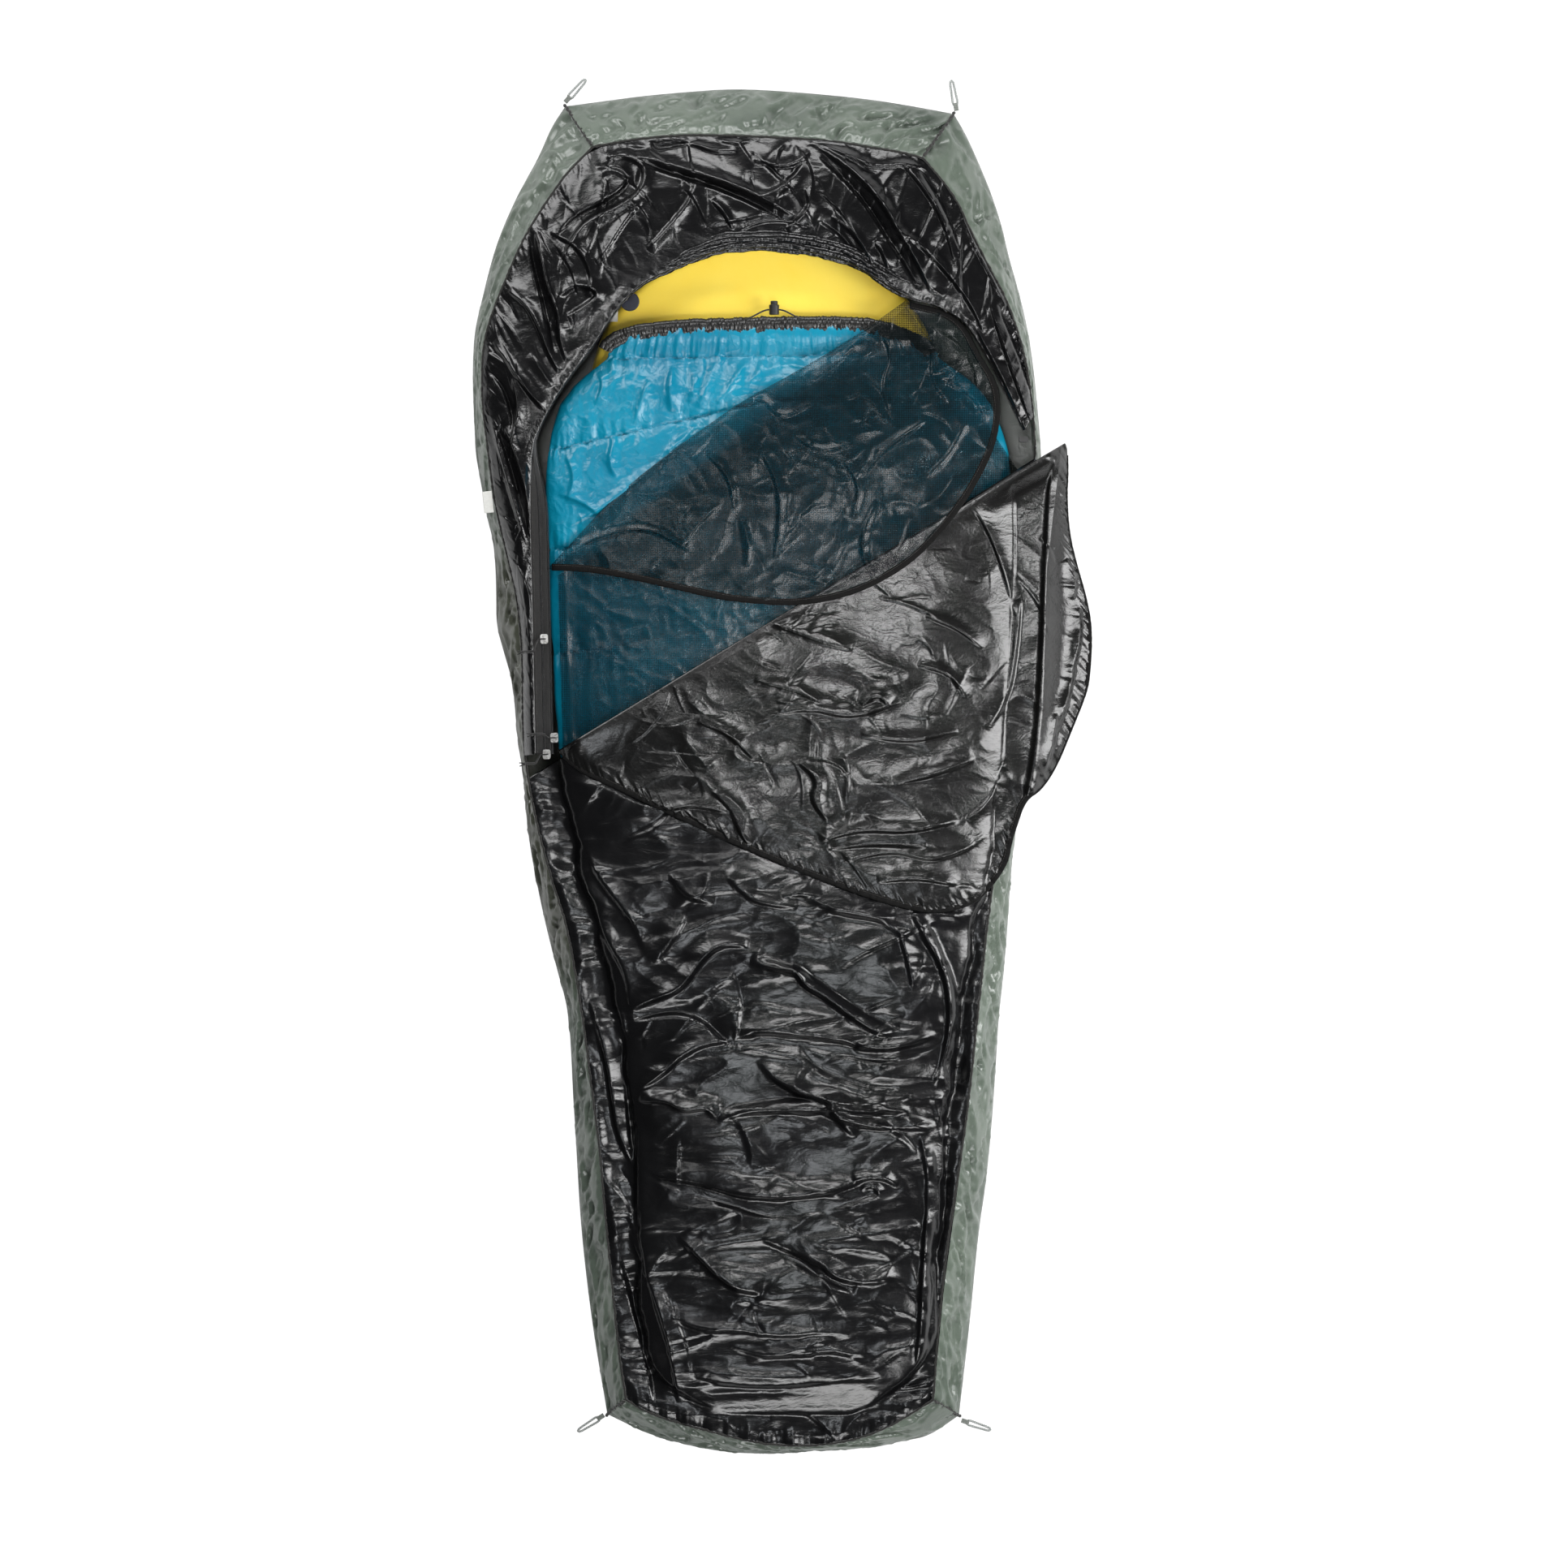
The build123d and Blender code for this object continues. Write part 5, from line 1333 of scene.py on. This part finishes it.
def hood_top():
    share = np.linspace(0, 1, HOOD_ROWS)[:, None]  # 0 at the seam, 1 at the free edge
    x = HOOD_SEAM[:, 0] + (RIM[:, 0] - HOOD_SEAM[:, 0]) * share
    y = HOOD_SEAM[:, 1] + (RIM[:, 1] - HOOD_SEAM[:, 1]) * share
    width = np.hypot(*(HOOD_SEAM - RIM).T)[None, :]
    length = travelled(RIM)[None, :]
    z = 86.0 + (RIM_Z - 86.0) * np.sin(share * np.pi / 2) ** 0.85
    z = z + 4.0 * np.sin(share * np.pi) * np.clip(width / 80.0, 0.2, 1)
    mask = smoothstep(share / 0.10) * smoothstep((1 - share) / 0.10)
    z = add_folds(x, y, z, FOLDS_HOOD, 2.0, mask, steep=0.38, gentle=1.3)
    draw = np.random.default_rng(77)
    large = random_folds(draw, 95, hood_crease_start, length=(50, 150), width=(3.5, 8.0),
                         height=(1.5, 5.0), bend=0.3)
    z = add_folds(x, y, z, large, 1.0, mask, steep=0.42)
    small = random_folds(draw, 170, hood_crease_start, length=(25, 80), width=(1.9, 4.0),
                         height=(0.6, 1.8), bend=0.25)
    z = add_folds(x, y, z, small, 1.0, mask)
    z += mask * (2.6 * (crease_noise(x / 120.0, y / 120.0, 52) - 0.5)
                 + 0.8 * (crease_noise(x / 42.0, y / 42.0, 53) - 0.5)
                 + 0.12 * (crease_noise(x / 14.0, y / 14.0, 58) - 0.5))
    # gathers along the seam, then along the free edge
    distance = share * width
    gathers = (1 - smoothstep(distance / 20.0)) * smoothstep(distance / 2.0)
    z += gathers * (1.4 * noise(length / 9.0, distance / 50.0, 54)
                    + 0.7 * noise(length / 4.5, distance / 40.0, 55))
    to_edge = (1 - share) * width
    gathers = (1 - smoothstep(to_edge / 14.0)) * smoothstep(to_edge / 1.5)
    z += gathers * (1.3 * noise(length / 10.0, distance / 40.0, 56)
                    + 0.7 * noise(length / 5.0, distance / 40.0, 57))
    points = surface(x, y, np.minimum(over_bag(x, y, z, gap=1.5), 136.0))
    # the edge turns down and under at the zip
    lip = curl(points[-1], RIM_INWARD, radius=1.8, degrees=np.linspace(20, 190, 7))
    obj = cloth("hood_top", np.concatenate([points, lip]), BLACK_NYLON, thickness=0.6)
    attach(obj, "sack", "hood_panel")


hood_top()


# ---------------------------------------------------------------- zips
def zip_line(inward, rise, across):
    """A line on a zip, flat along the side and hanging below the hood's edge at the head.

    inward and rise place the zip against the hood's edge, across is measured on its tape.
    """
    hang = smoothstep((RIM_SHARE - 0.24) / 0.10)
    offset = (inward + across) * (1 - hang) + (-4.0 + 0.22 * inward + 0.18 * across) * hang
    z = RIM_Z + rise * (1 - hang) + (-5.0 + 0.8 * rise - 0.95 * across) * hang
    return with_z(RIM + RIM_INWARD * offset[:, None], z)


def fixed_zip(door, inward, rise):
    """Tape, coil and stitching on the hood's side of a door's zip."""
    rows = []
    for j in range(9):
        row = zip_line(inward, rise - 0.2, across=12.0 * j / 8)
        row[:, 2] += 0.3 * noise(np.arange(HOOD_COLUMNS) / 8.0, j * 0.2, 61)
        rows.append(row)
    tape = cloth(door + "_zip_tape_cloth", np.stack(rows), ZIP_TAPE, thickness=0.6)
    attach(tape, "sack", door + "_zip_tape")
    coil = zip_coil(door + "_zip_teeth", zip_line(inward, rise - 0.1, across=13.9))
    attach(coil, "sack", door + "_zip_coil")
    thread = stitches(door + "_zip_stitching", zip_line(inward, rise + 0.25, across=3.0)[:260],
                      pitch=4.2, length=2.7, radius=0.3)
    attach(thread, "sack")


def draught_band():
    """Bunched strips of cloth, overlapping, along the zips over the head."""
    arc = resample([(x, y) for x, y in RIM_ARC if y > 690 and x < 312], 620)
    outward = left_normals(arc)
    length = travelled(arc)
    share = np.linspace(0, 1, len(arc))
    # share of the arc where it starts and ends, outward offset, z, radius
    strips = ((0.02, 0.95, -1.5, 110.0, 5.5), (0.12, 0.90, 5.5, 118.0, 6.0),
              (0.22, 0.80, 14.0, 120.5, 6.5), (0.30, 0.62, 22.0, 121.0, 5.0),
              (0.50, 0.88, 20.0, 119.5, 4.5))
    parts = []
    for i, (start, end, offset, z, radius) in enumerate(strips):
        used = (share >= start) & (share <= end)
        run = length[used]
        progress = (share[used] - start) / (end - start)
        taper = np.sin(np.pi * np.clip(0.03 + 0.94 * progress, 0, 1)) ** 0.55
        offsets = (offset + 3.2 * noise(run / 60.0, 3.3 * i, 64)
                   + 1.2 * noise(run / 19.0, 3.3 * i, 65))
        heights = (z + 1.8 * noise(run / 45.0, 2.1 * i, 66)
                   + 0.8 * noise(run / 12.0, 2.1 * i, 67) - (1 - taper) * 7.0)
        line = with_z(arc[used] + outward[used] * offsets[:, None], heights)
        radii = radius * taper * (1 + 0.16 * noise(run / 16.0, i, 68)
                                  + 0.12 * noise(run / 5.0, i, 69))
        parts.append(tube(line, np.maximum(radii, 0.6), sides=16, squash=0.62))
    obj = join_parts("draught_band", parts, BLACK_NYLON)
    attach(obj, "sack", "zip_draught_flap")


fixed_zip("storm", inward=1.5, rise=0.0)
fixed_zip("net", inward=14.0, rise=NET_ZIP_Z - ZIP_Z)
draught_band()


# ---------------------------------------------------------------- fixed insect net
def net_sheet():
    """Net between the two doors' fold lines."""
    low_left, low_right = np.array([(-326.0, 22.0), (402.0, 452.0)])
    high_left, high_right = np.array([(-334.0, 306.0), (212.0, 728.0)])
    share = np.linspace(0, 1, 150)[:, None, None]
    across = np.linspace(0, 1, 260)[None, :, None]
    plan = ((low_left + (high_left - low_left) * share) * (1 - across)
            + (low_right + (high_right - low_right) * share) * across)
    x, y = plan[..., 0], plan[..., 1]
    share, across = share[..., 0], across[..., 0]
    side = np.minimum(across, 1 - across)
    inside = smoothstep(side / 0.05)
    z = np.maximum(net_surface(x, y) * inside + 113.5 * (1 - inside), 98.0)
    mask = smoothstep(np.minimum(side / 0.04, np.minimum(share, 1 - share) / 0.06))
    z = z + mask * (2.4 * (crease_noise(x / 60.0 + y / 90.0, y / 60.0, 71) - 0.35)
                    + 1.2 * (crease_noise(x / 24.0, y / 24.0, 72) - 0.4)
                    + 1.0 * noise(x / 80.0, y / 80.0, 73))
    z = over_bag(x, y, add_folds(x, y, z, FOLDS_NET, 0.5, mask), gap=1.2)
    z = np.minimum(z, bag_dome(x, y, lift=11.0) + 40 * (y > 660))
    obj = cloth("net_sheet", surface(x, y, z), NET, thickness=0.4)
    attach(obj, "sack", "net_panel")


net_sheet()


# ---------------------------------------------------------------- doors
def door_grid(fold, edge, columns, rows):
    """x, y from the fold (row 0) to the free edge, each row's share, span, and the fold."""
    fold, edge = resample(fold, columns), resample(edge, columns)
    share = np.linspace(0, 1, rows)[:, None]
    x = fold[:, 0] + (edge[:, 0] - fold[:, 0]) * share
    y = fold[:, 1] + (edge[:, 1] - fold[:, 1]) * share
    return x, y, share, np.hypot(*(edge - fold).T)[None, :], fold


def add_roll(points, fold, radius):
    """Adds the rolled-under lip at a door's fold."""
    lip = curl(points[0], left_normals(fold), radius, np.linspace(185, 12, 9))
    return np.concatenate([lip, points])


def bind_edge(door, line, rise, radius, squash, seed, stitch_offset, stitch_rise,
              stitch_radius):
    """Flattened binding along a door's free edge, with its row of stitches."""
    place = np.arange(len(line))
    path = offset_line(line, 3.6, rise=rise + 0.35 * noise(place / 3.0, 0, seed))
    binding = cords(door + "_flap_binding", [path],
                    radius + 0.3 * noise(place / 2.5, 0, seed + 1), BINDING, 12, squash)
    attach(binding, door + "_flap", door + "_door_binding")
    thread = stitches(door + "_binding_stitching",
                      offset_line(line, stitch_offset, rise=stitch_rise),
                      pitch=4.0, length=2.6, radius=stitch_radius)
    attach(thread, door + "_flap")
    return [binding, thread]


def storm_door():
    x, y, share, span, fold = door_grid(STORM_FOLD, STORM_EDGE + STORM_HANG, 620, 210)
    from_fold_line = share * span
    to_edge = (1 - share) * span
    mask = smoothstep(from_fold_line / 14.0) * (0.35 + 0.65 * smoothstep(to_edge / 10.0))
    z = add_folds(x, y, storm_surface(x, y), FOLDS_STORM, 2.3, mask, gentle=2.0)

    def start(draw):
        return (draw.uniform(-300, 450), draw.uniform(-200, 420),
                -0.15 + draw.normal(0, 0.55))

    small = random_folds(np.random.default_rng(5), 130, start, length=(20, 110),
                         width=(2.4, 6.0), height=(0.5, 2.2), bend=0.4)
    z = add_folds(x, y, z, small, 1.0, mask)
    # calmer towards the head
    calm = 0.45 + 0.55 * smoothstep((230 - (y - 0.2 * x)) / 160.0)
    z += mask * (3.2 * noise(x / 150.0, y / 110.0, 81)
                 + calm * (4.0 * (crease_noise(x / 120.0, y / 85.0, 82) - 0.5)
                           + 1.0 * (crease_noise(x / 50.0, y / 42.0, 83) - 0.5)
                           + 0.10 * (crease_noise(x / 13.0, y / 11.0, 84) - 0.5)))
    z = np.clip(z, None, 141.0)
    # puckers along the free edge
    length = travelled(np.stack([x[-1], y[-1]], 1))[None, :]
    z += (1 - smoothstep(to_edge / 38.0)) * (2.4 * noise(length / 13.0, to_edge / 60.0, 85)
                                             + 1.3 * noise(length / 6.0, to_edge / 40.0, 86))
    z = fold_ridge(x, y, over_bag(x, y, z, gap=5.5), top=130.5)
    points = surface(x, y, z)
    sheet = cloth("storm_flap_cloth", add_roll(points, fold, radius=3.0), FLAP_NYLON,
                  thickness=0.6)
    attach(sheet, "storm_flap", "storm_door")
    line = points[-1][4:-4]
    edging = bind_edge("storm", line, rise=0.0, radius=5.2, squash=0.32, seed=87,
                       stitch_offset=6.4, stitch_rise=1.1, stitch_radius=0.3)
    coil = zip_coil("storm_flap_teeth", offset_line(line, 1.0, rise=-2.0)[6:-6])
    attach(coil, "storm_flap", "storm_door_coil")
    return [sheet, *edging, coil]


def net_door():
    x, y, share, span, fold = door_grid(NET_FOLD, NET_EDGE, 420, 150)
    # it lies on the fixed net, and on the storm door past that door's fold
    on_net = fold_ridge(x, y, net_surface(x, y) + 3.4, top=131.0)
    storm = over_bag(x, y, storm_surface(x, y), gap=5.5)
    on_storm = fold_ridge(x, y, storm, top=130.5) + 2.8
    inside = smoothstep(from_fold(x, y)[0] / -14.0 + 0.5)
    mixed = on_storm * inside + on_net * (1 - inside)
    rest = np.where(inside > 0.01, smooth_max(on_net, mixed, blend=3.0), on_net)
    mask = (smoothstep(share * span / 12.0)
            * (0.3 + 0.7 * smoothstep((1 - share) * span / 12.0)))
    z = add_folds(x, y, rest, FOLDS_NET, 1.1, mask)

    def start(draw):
        return draw.uniform(-300, 340), draw.uniform(280, 700), 0.6 + draw.normal(0, 0.7)

    small = random_folds(np.random.default_rng(15), 90, start, length=(25, 110),
                         width=(1.8, 3.6), height=(0.5, 1.9), bend=0.5)
    z = add_folds(x, y, z, small, 1.0, mask)
    z += mask * (2.4 * (crease_noise(x / 62.0, y / 62.0, 92) - 0.25)
                 + 0.45 * (crease_noise(x / 24.0, y / 24.0, 93) - 0.3)
                 + 1.8 * (noise(x / 80.0, y / 80.0, 94) + 0.6))
    points = surface(x, y, np.maximum(z, on_net))
    sheet = cloth("net_flap_sheet", add_roll(points, fold, radius=1.6), NET, thickness=0.4)
    attach(sheet, "net_flap", "net_door")
    edging = bind_edge("net", points[-1][3:-3], rise=0.8, radius=5.4, squash=0.28, seed=96,
                       stitch_offset=6.6, stitch_rise=1.9, stitch_radius=0.28)
    return [sheet, *edging]


storm_parts = storm_door()
net_parts = net_door()

# ---------------------------------------------------------------- mattress
# z and inset of the side, foot to crown: bulged wall, raised weld half way, round shoulders
PAD_PROFILE = [
    (3.0, 17.0), (3.6, 11.0), (6.0, 6.0), (10.0, 2.6), (18.0, 0.6), (27.0, 0.2), (28.6, -0.2),
    (29.5, -1.0), (30.4, -0.2), (32.0, 0.2), (40.0, 0.6), (47.0, 2.4), (51.5, 5.6),
    (54.2, 10.0), (55.4, 16.0)]
# shrinking copies of the outline that close the top
PAD_TOP_RINGS = (0.985, 0.965, 0.94, 0.91, 0.87, 0.82, 0.75, 0.65, 0.5, 0.3, 0.12, 0.01)


def mattress():
    outline = resample(PAD_OUTLINE + PAD_OUTLINE[:1], 721)[:-1]
    looped = np.concatenate([outline[-1:], outline, outline[:1]])
    inward = -left_normals(looped)[1:-1]
    centre = np.array([-5.0, 0.0])
    count = len(outline)
    rings = []
    for z, inset in PAD_PROFILE:
        wave = 0.35 * noise(np.arange(count) / 9.0, z / 9, 121)
        rings.append(with_z(outline + inward * (inset + wave)[:, None], z))
    shoulder = outline + inward * PAD_PROFILE[-1][1]
    for scale in PAD_TOP_RINGS:
        plan = centre + (shoulder - centre) * scale
        x, y = plan.T
        wrinkle = (0.5 * noise(x / 60.0, y / 60.0, 122)
                   + 0.5 * (crease_noise(x / 45.0, y / 30.0, 123) - 0.5))
        puff = 2.2 * (1 - scale ** 6) * 0.7
        rings.append(with_z(plan, 55.6 + puff + wrinkle * (1 - scale ** 20)))
    points = np.stack(rings)
    points[..., 2] = np.clip(points[..., 2], 2.2, 58.5)
    size = len(rings) * count
    caps = [fan(size, size - count, count), fan(size + 1, 0, count, backward=True)]
    part = (np.concatenate([points.reshape(-1, 3), [(*centre, 57.0), (*centre, 3.0)]]),
            grid_faces(len(rings), count, closed=True), np.concatenate(caps))
    obj = join_parts("mattress_pad", [part], PAD_NYLON)
    face_outward(obj)
    attach(obj, "mattress", "mattress_shell")


def mattress_tag():
    across = np.linspace(0, 1, 16)[:, None]
    j = np.arange(22)[None, :]
    points = surface(-254 + 13 * across, 706.5 + 19 * j / 21,
                     57.6 + 1.2 * np.sin(2.4 * across) + 0.4 * np.sin(j / 4))
    obj = cloth("mattress_tag_cloth", points, LABEL, thickness=0.6)
    attach(obj, "mattress", "mattress_tag")


mattress()
mattress_tag()

# ---------------------------------------------------------------- zip pull cords
SIDE_ZIP_ANGLE = math.atan2(SIDE_ZIP_X_START - SIDE_ZIP_X_END, SIDE_ZIP_END_Y)


def pull_cord(which, replaces, y, inward, z, drop, trail):
    """A doubled cord looped through a slider, laid to -X and knotted.

    The knot ends `drop` below the slider's base and `trail` towards the foot of it.
    """
    share = np.linspace(0, 1, 15)
    ease = smoothstep(2.2 * share)
    x = -7.5 + (-33 + 7.5) * share
    lower = np.column_stack([x, (-trail - 1.2) * ease, 3.75 + (-drop - 3.75) * ease])
    upper = np.column_stack([x, (-trail + 1.2) * ease, 6.6 + (-drop - 6.6) * ease])
    angle = np.radians(np.linspace(-90, 90, 11))
    bend = np.column_stack([1.9 * np.cos(angle), 0 * angle, 5.6 + 1.9 * np.sin(angle)])
    path = np.concatenate([lower[::-1], [(-3.5, 0.0, 3.7)], bend, [(-3.5, 0.0, 7.3)], upper])
    centre = np.array([-35.0, -trail - 0.5, -drop])
    turn = np.linspace(0, 2 * math.pi * 3.0, 110)
    knot = centre + np.column_stack([
        2.1 * np.cos(turn) * (0.8 + 0.25 * np.sin(turn / 3)),
        1.9 * np.sin(turn) * np.cos(turn / 6),
        2.0 * np.sin(turn) * np.sin(turn / 6) + 0.3 * np.cos(turn / 2)])
    core = centre + np.array([(-1.6, 0, 0), (1.6, 0, 0)])
    tails = [[(-1, 0.8, 0), (-4, 1.8, -0.6), (-8, 2.0, -1.6)],
             [(-1, -0.8, 0), (-4, -2.2, -0.4), (-7.5, -3.2, -1.4)]]
    strands = [(resample(path, 160, 1), 0.95 + 0.10 * np.sin(np.arange(160) * 1.9), 8),
               (knot, 1.0, 8), (core, 1.9, 10)]
    for tail in tails:
        strands.append((resample(centre + np.array(tail), 14, 1), np.linspace(0.95, 0.8, 14), 8))
    slider = (side_zip_x(y) + inward, y, z)
    parts = [tube(turned(line, SIDE_ZIP_ANGLE, slider), radius, sides)
             for line, radius, sides in strands]
    obj = join_parts(which + "_pull_braid", parts, BLACK_CORD)
    attach(obj, which + "_pull", replaces)


pull_cord("upper", "storm_upper_pull_cord", y=207.0, inward=0.0, z=ZIP_Z, drop=-8.0, trail=20.0)
pull_cord("lower", "storm_lower_pull_cord", y=26.0, inward=0.0, z=ZIP_Z, drop=-8.0, trail=14.0)
pull_cord("inner", "net_pull_cord", y=52.0, inward=12.5, z=NET_ZIP_Z, drop=-12.0, trail=-6.0)

# ---------------------------------------------------------------- stake loops
# name, x, y, heading in degrees
STAKE_LOOPS = (("head_left", -318, 1062, 48), ("head_right", 291, 1051, 100),
               ("foot_left", -272, -1021, 212), ("foot_right", 310, -1027, 342))
# half of a loop's outline from its root to its tip, (x, y)
LOOP_HALF = [(0, 2.6), (1.5, 3.6), (5, 3.9), (20, 3.2), (33, 2.8), (37.2, 1.6)]


def tab_grids():
    """Top and bottom of the tab folded round a loop's root."""
    angle = np.radians(np.linspace(-20, 200, 15))
    bend = 2.45 * np.column_stack([np.sin(angle), np.cos(angle)])
    profile = resample([(-10.0, 1.6), (-6.0, 1.9), (-3.0, 2.15), *bend, (-3.0, -1.35),
                        (-6.0, -1.5), (-10.0, -1.6)], 44, 1)
    top = surface(profile[:, :1], np.linspace(-3.6, 3.6, 9)[None],
                  np.maximum(profile[:, 1:], -1.9) * 0.92)
    return top, top - 0.8 * grid_normals(top)


def stake_loops():
    """Four loops of two-ply cord, and their tabs as one object."""
    mirrored = [(x, -y) for x, y in LOOP_HALF]
    outline = mirrored[:1] + LOOP_HALF + [(38, 0)] + mirrored[::-1]
    path = resample(outline, 150)
    plies = []
    for phase in (0, math.pi):
        twist = np.arange(150) * 0.55 + phase
        plies.append(with_z(offset_line(path, 0.62 * np.cos(twist)), 0.62 * np.sin(twist)))
    tab_vertices, tab_quads = shell(*tab_grids())
    tabs = []
    for name, x, y, degrees in STAKE_LOOPS:
        place = (math.radians(degrees), (x, y, 2.4))
        obj = cords("loop_cord_" + name, [turned(ply, *place) for ply in plies], 1.25,
                    LOOP_CORD)
        attach(obj, "loop_" + name, "stake_loop_" + name)
        tabs.append((turned(tab_vertices, *place), tab_quads, NO_TRIANGLES))
    obj = join_parts("loop_tabs", tabs, TAB_WEBBING)
    face_outward(obj)
    attach(obj, "sack", "loop_anchor_tabs")


def woven_tag():
    """Blank tag in the left seam."""
    inner_head, inner_foot, outer_head, outer_foot = np.array([
        (-438.5, 440.0, 87.6), (-435.0, 406.0, 87.6), (-453.5, 438.0, 84.0),
        (-450.0, 404.5, 84.0)])
    across = np.linspace(0, 1, 14)[:, None, None]
    down = np.linspace(0, 1, 26)[None, :, None]
    points = ((inner_head * (1 - down) + inner_foot * down) * (1 - across)
              + (outer_head * (1 - down) + outer_foot * down) * across)
    points[..., 2:] += 2.2 * np.sin(across * 2.2) + 0.5 * np.sin(down * 5)
    obj = cloth("woven_tag_cloth", points, LABEL, thickness=0.5)
    attach(obj, "sack", "woven_tag")


def tub_floor():
    """Floor blended between the four ground lines."""
    rows, columns = 200, 90
    left, right = [resample(side[::-1], rows)[:, None] for side in (OUT_LEFT, OUT_RIGHT)]
    foot, head = [resample(end, columns)[None] for end in (OUT_FOOT, OUT_HEAD)]
    across = np.linspace(0, 1, columns)[None, :, None]
    up = np.linspace(0, 1, rows)[:, None, None]
    plan = (1 - across) * left + across * right + (1 - up) * foot + up * head
    plan -= ((1 - up) * ((1 - across) * foot[0, 0] + across * foot[0, -1])
             + up * ((1 - across) * head[0, 0] + across * head[0, -1]))
    plan *= 0.992
    x, y = plan[..., 0], plan[..., 1]
    points = surface(x, y, 0.75 + 0.3 * noise(x / 60.0, y / 60.0, 131))
    obj = cloth("tub_floor", points, TUB_NYLON, thickness=0.7)
    attach(obj, "sack", "floor_panel")


stake_loops()
woven_tag()
tub_floor()

# ---------------------------------------------------------------- rigid parts keep their mesh
RIGID_PARTS = {
    "storm_upper_slider": PLATED_METAL, "storm_lower_slider": PLATED_METAL,
    "net_slider": PLATED_METAL, "zip_end_stop": BLACK_PLASTIC,
    "cord_lock_barrel": BLACK_PLASTIC, "cord_lock_button": BLACK_PLASTIC,
    "cord_lock_spring": STEEL, "mattress_valve_body": VALVE_PLASTIC,
    "mattress_valve_cap": VALVE_PLASTIC}
for node, material in RIGID_PARTS.items():
    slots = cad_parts[node].data.materials
    slots.clear()
    slots.append(material)

# each door part gets a mesh of its own
for part in storm_parts:
    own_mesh(part)
for part in net_parts:
    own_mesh(part)


# ---------------------------------------------------------------- stage, in metres
def stage_paper():
    """Pale paper that glows to the camera only."""
    shader = Shader("stage_paper")
    colour = shader.ramp(shader.noise(scale=2.0, detail=2), (0.3, (0.80, 0.80, 0.80, 1)),
                         (0.7, (0.82, 0.82, 0.82, 1)))
    shader.set(Base_Color=colour, Roughness=0.9, Specular_IOR_Level=0.1)
    light_path = shader.node("ShaderNodeLightPath")
    glow = shader.node("ShaderNodeEmission")
    glow.inputs[1].default_value = 1.15
    seen = shader.math("MULTIPLY", light_path.outputs["Is Camera Ray"], 0.85)
    shader.mix_surface(seen, glow)
    return shader.material


def stage_floor():
    half, z = 9, -0.0004
    mesh = bpy.data.meshes.new("stage_floor")
    corners = [(-half, -half, z), (half, -half, z), (half, half, z), (-half, half, z)]
    mesh.from_pydata(corners, [], [(0, 1, 2, 3)])
    obj = bpy.data.objects.new("stage_floor", mesh)
    bpy.context.scene.collection.objects.link(obj)
    mesh.materials.append(stage_paper())


def area_light(name, location, target, size, energy, colour=(1, 1, 1)):
    """A rectangular light aimed at a target; size is (width, height)."""
    light = bpy.data.lights.new(name, "AREA")
    light.shape = "RECTANGLE"
    light.size, light.size_y = size
    light.energy = energy
    light.color = colour
    obj = bpy.data.objects.new(name, light)
    bpy.context.scene.collection.objects.link(obj)
    obj.location = location
    aim = Vector(target) - Vector(location)
    obj.rotation_euler = aim.to_track_quat("-Z", "Y").to_euler()
    obj.visible_camera = False


stage_floor()
area_light("zenith_chest", location=(0.25, 0.30, 1.7), target=(0.15, 0.2, 0),
           size=(0.32, 0.38), energy=7.6)
area_light("zenith_foot", location=(0.02, -0.62, 1.6), target=(0.02, -0.55, 0),
           size=(0.30, 0.36), energy=3.0, colour=(0.92, 0.96, 1.0))
area_light("zenith_left", location=(-0.5, 0.6, 1.7), target=(-0.3, 0.5, 0),
           size=(0.3, 0.36), energy=2.4)
area_light("side_left", location=(-1.9, 2.4, 1.5), target=(-0.2, 0.6, 0),
           size=(1.0, 1.8), energy=54)
area_light("side_right", location=(2.4, 0.0, 1.6), target=(0, 0.0, 0),
           size=(1.0, 2.2), energy=100)
area_light("head_strip", location=(0.1, 2.8, 1.6), target=(0, 0.3, 0),
           size=(1.8, 0.8), energy=48)
area_light("foot_strip", location=(0.2, -2.8, 2.1), target=(0, -0.3, 0),
           size=(1.8, 0.8), energy=52)

scene = bpy.context.scene
scene.world = bpy.data.worlds.new("studio")
scene.world.use_nodes = True
background = scene.world.node_tree.nodes["Background"]
background.inputs[0].default_value = (0.95, 0.97, 1.0, 1)
background.inputs[1].default_value = 0.06

# a long lens straight above, wide enough for VIEW_WIDTH on the ground
CAMERA_HEIGHT = 20.0
VIEW_WIDTH = 2.473
SENSOR_WIDTH = 36.0
lens = bpy.data.cameras.new("camera")
camera = bpy.data.objects.new("camera", lens)
scene.collection.objects.link(camera)
camera.location = (0.0205, -0.0205, CAMERA_HEIGHT)
camera.rotation_euler = (0, 0, 0)
lens.lens = SENSOR_WIDTH * CAMERA_HEIGHT / VIEW_WIDTH
lens.sensor_width = SENSOR_WIDTH
lens.clip_end = 60.0
scene.camera = camera
scene.view_settings.view_transform = "Standard"
scene.view_settings.look = "None"

bpy.context.view_layer.update()
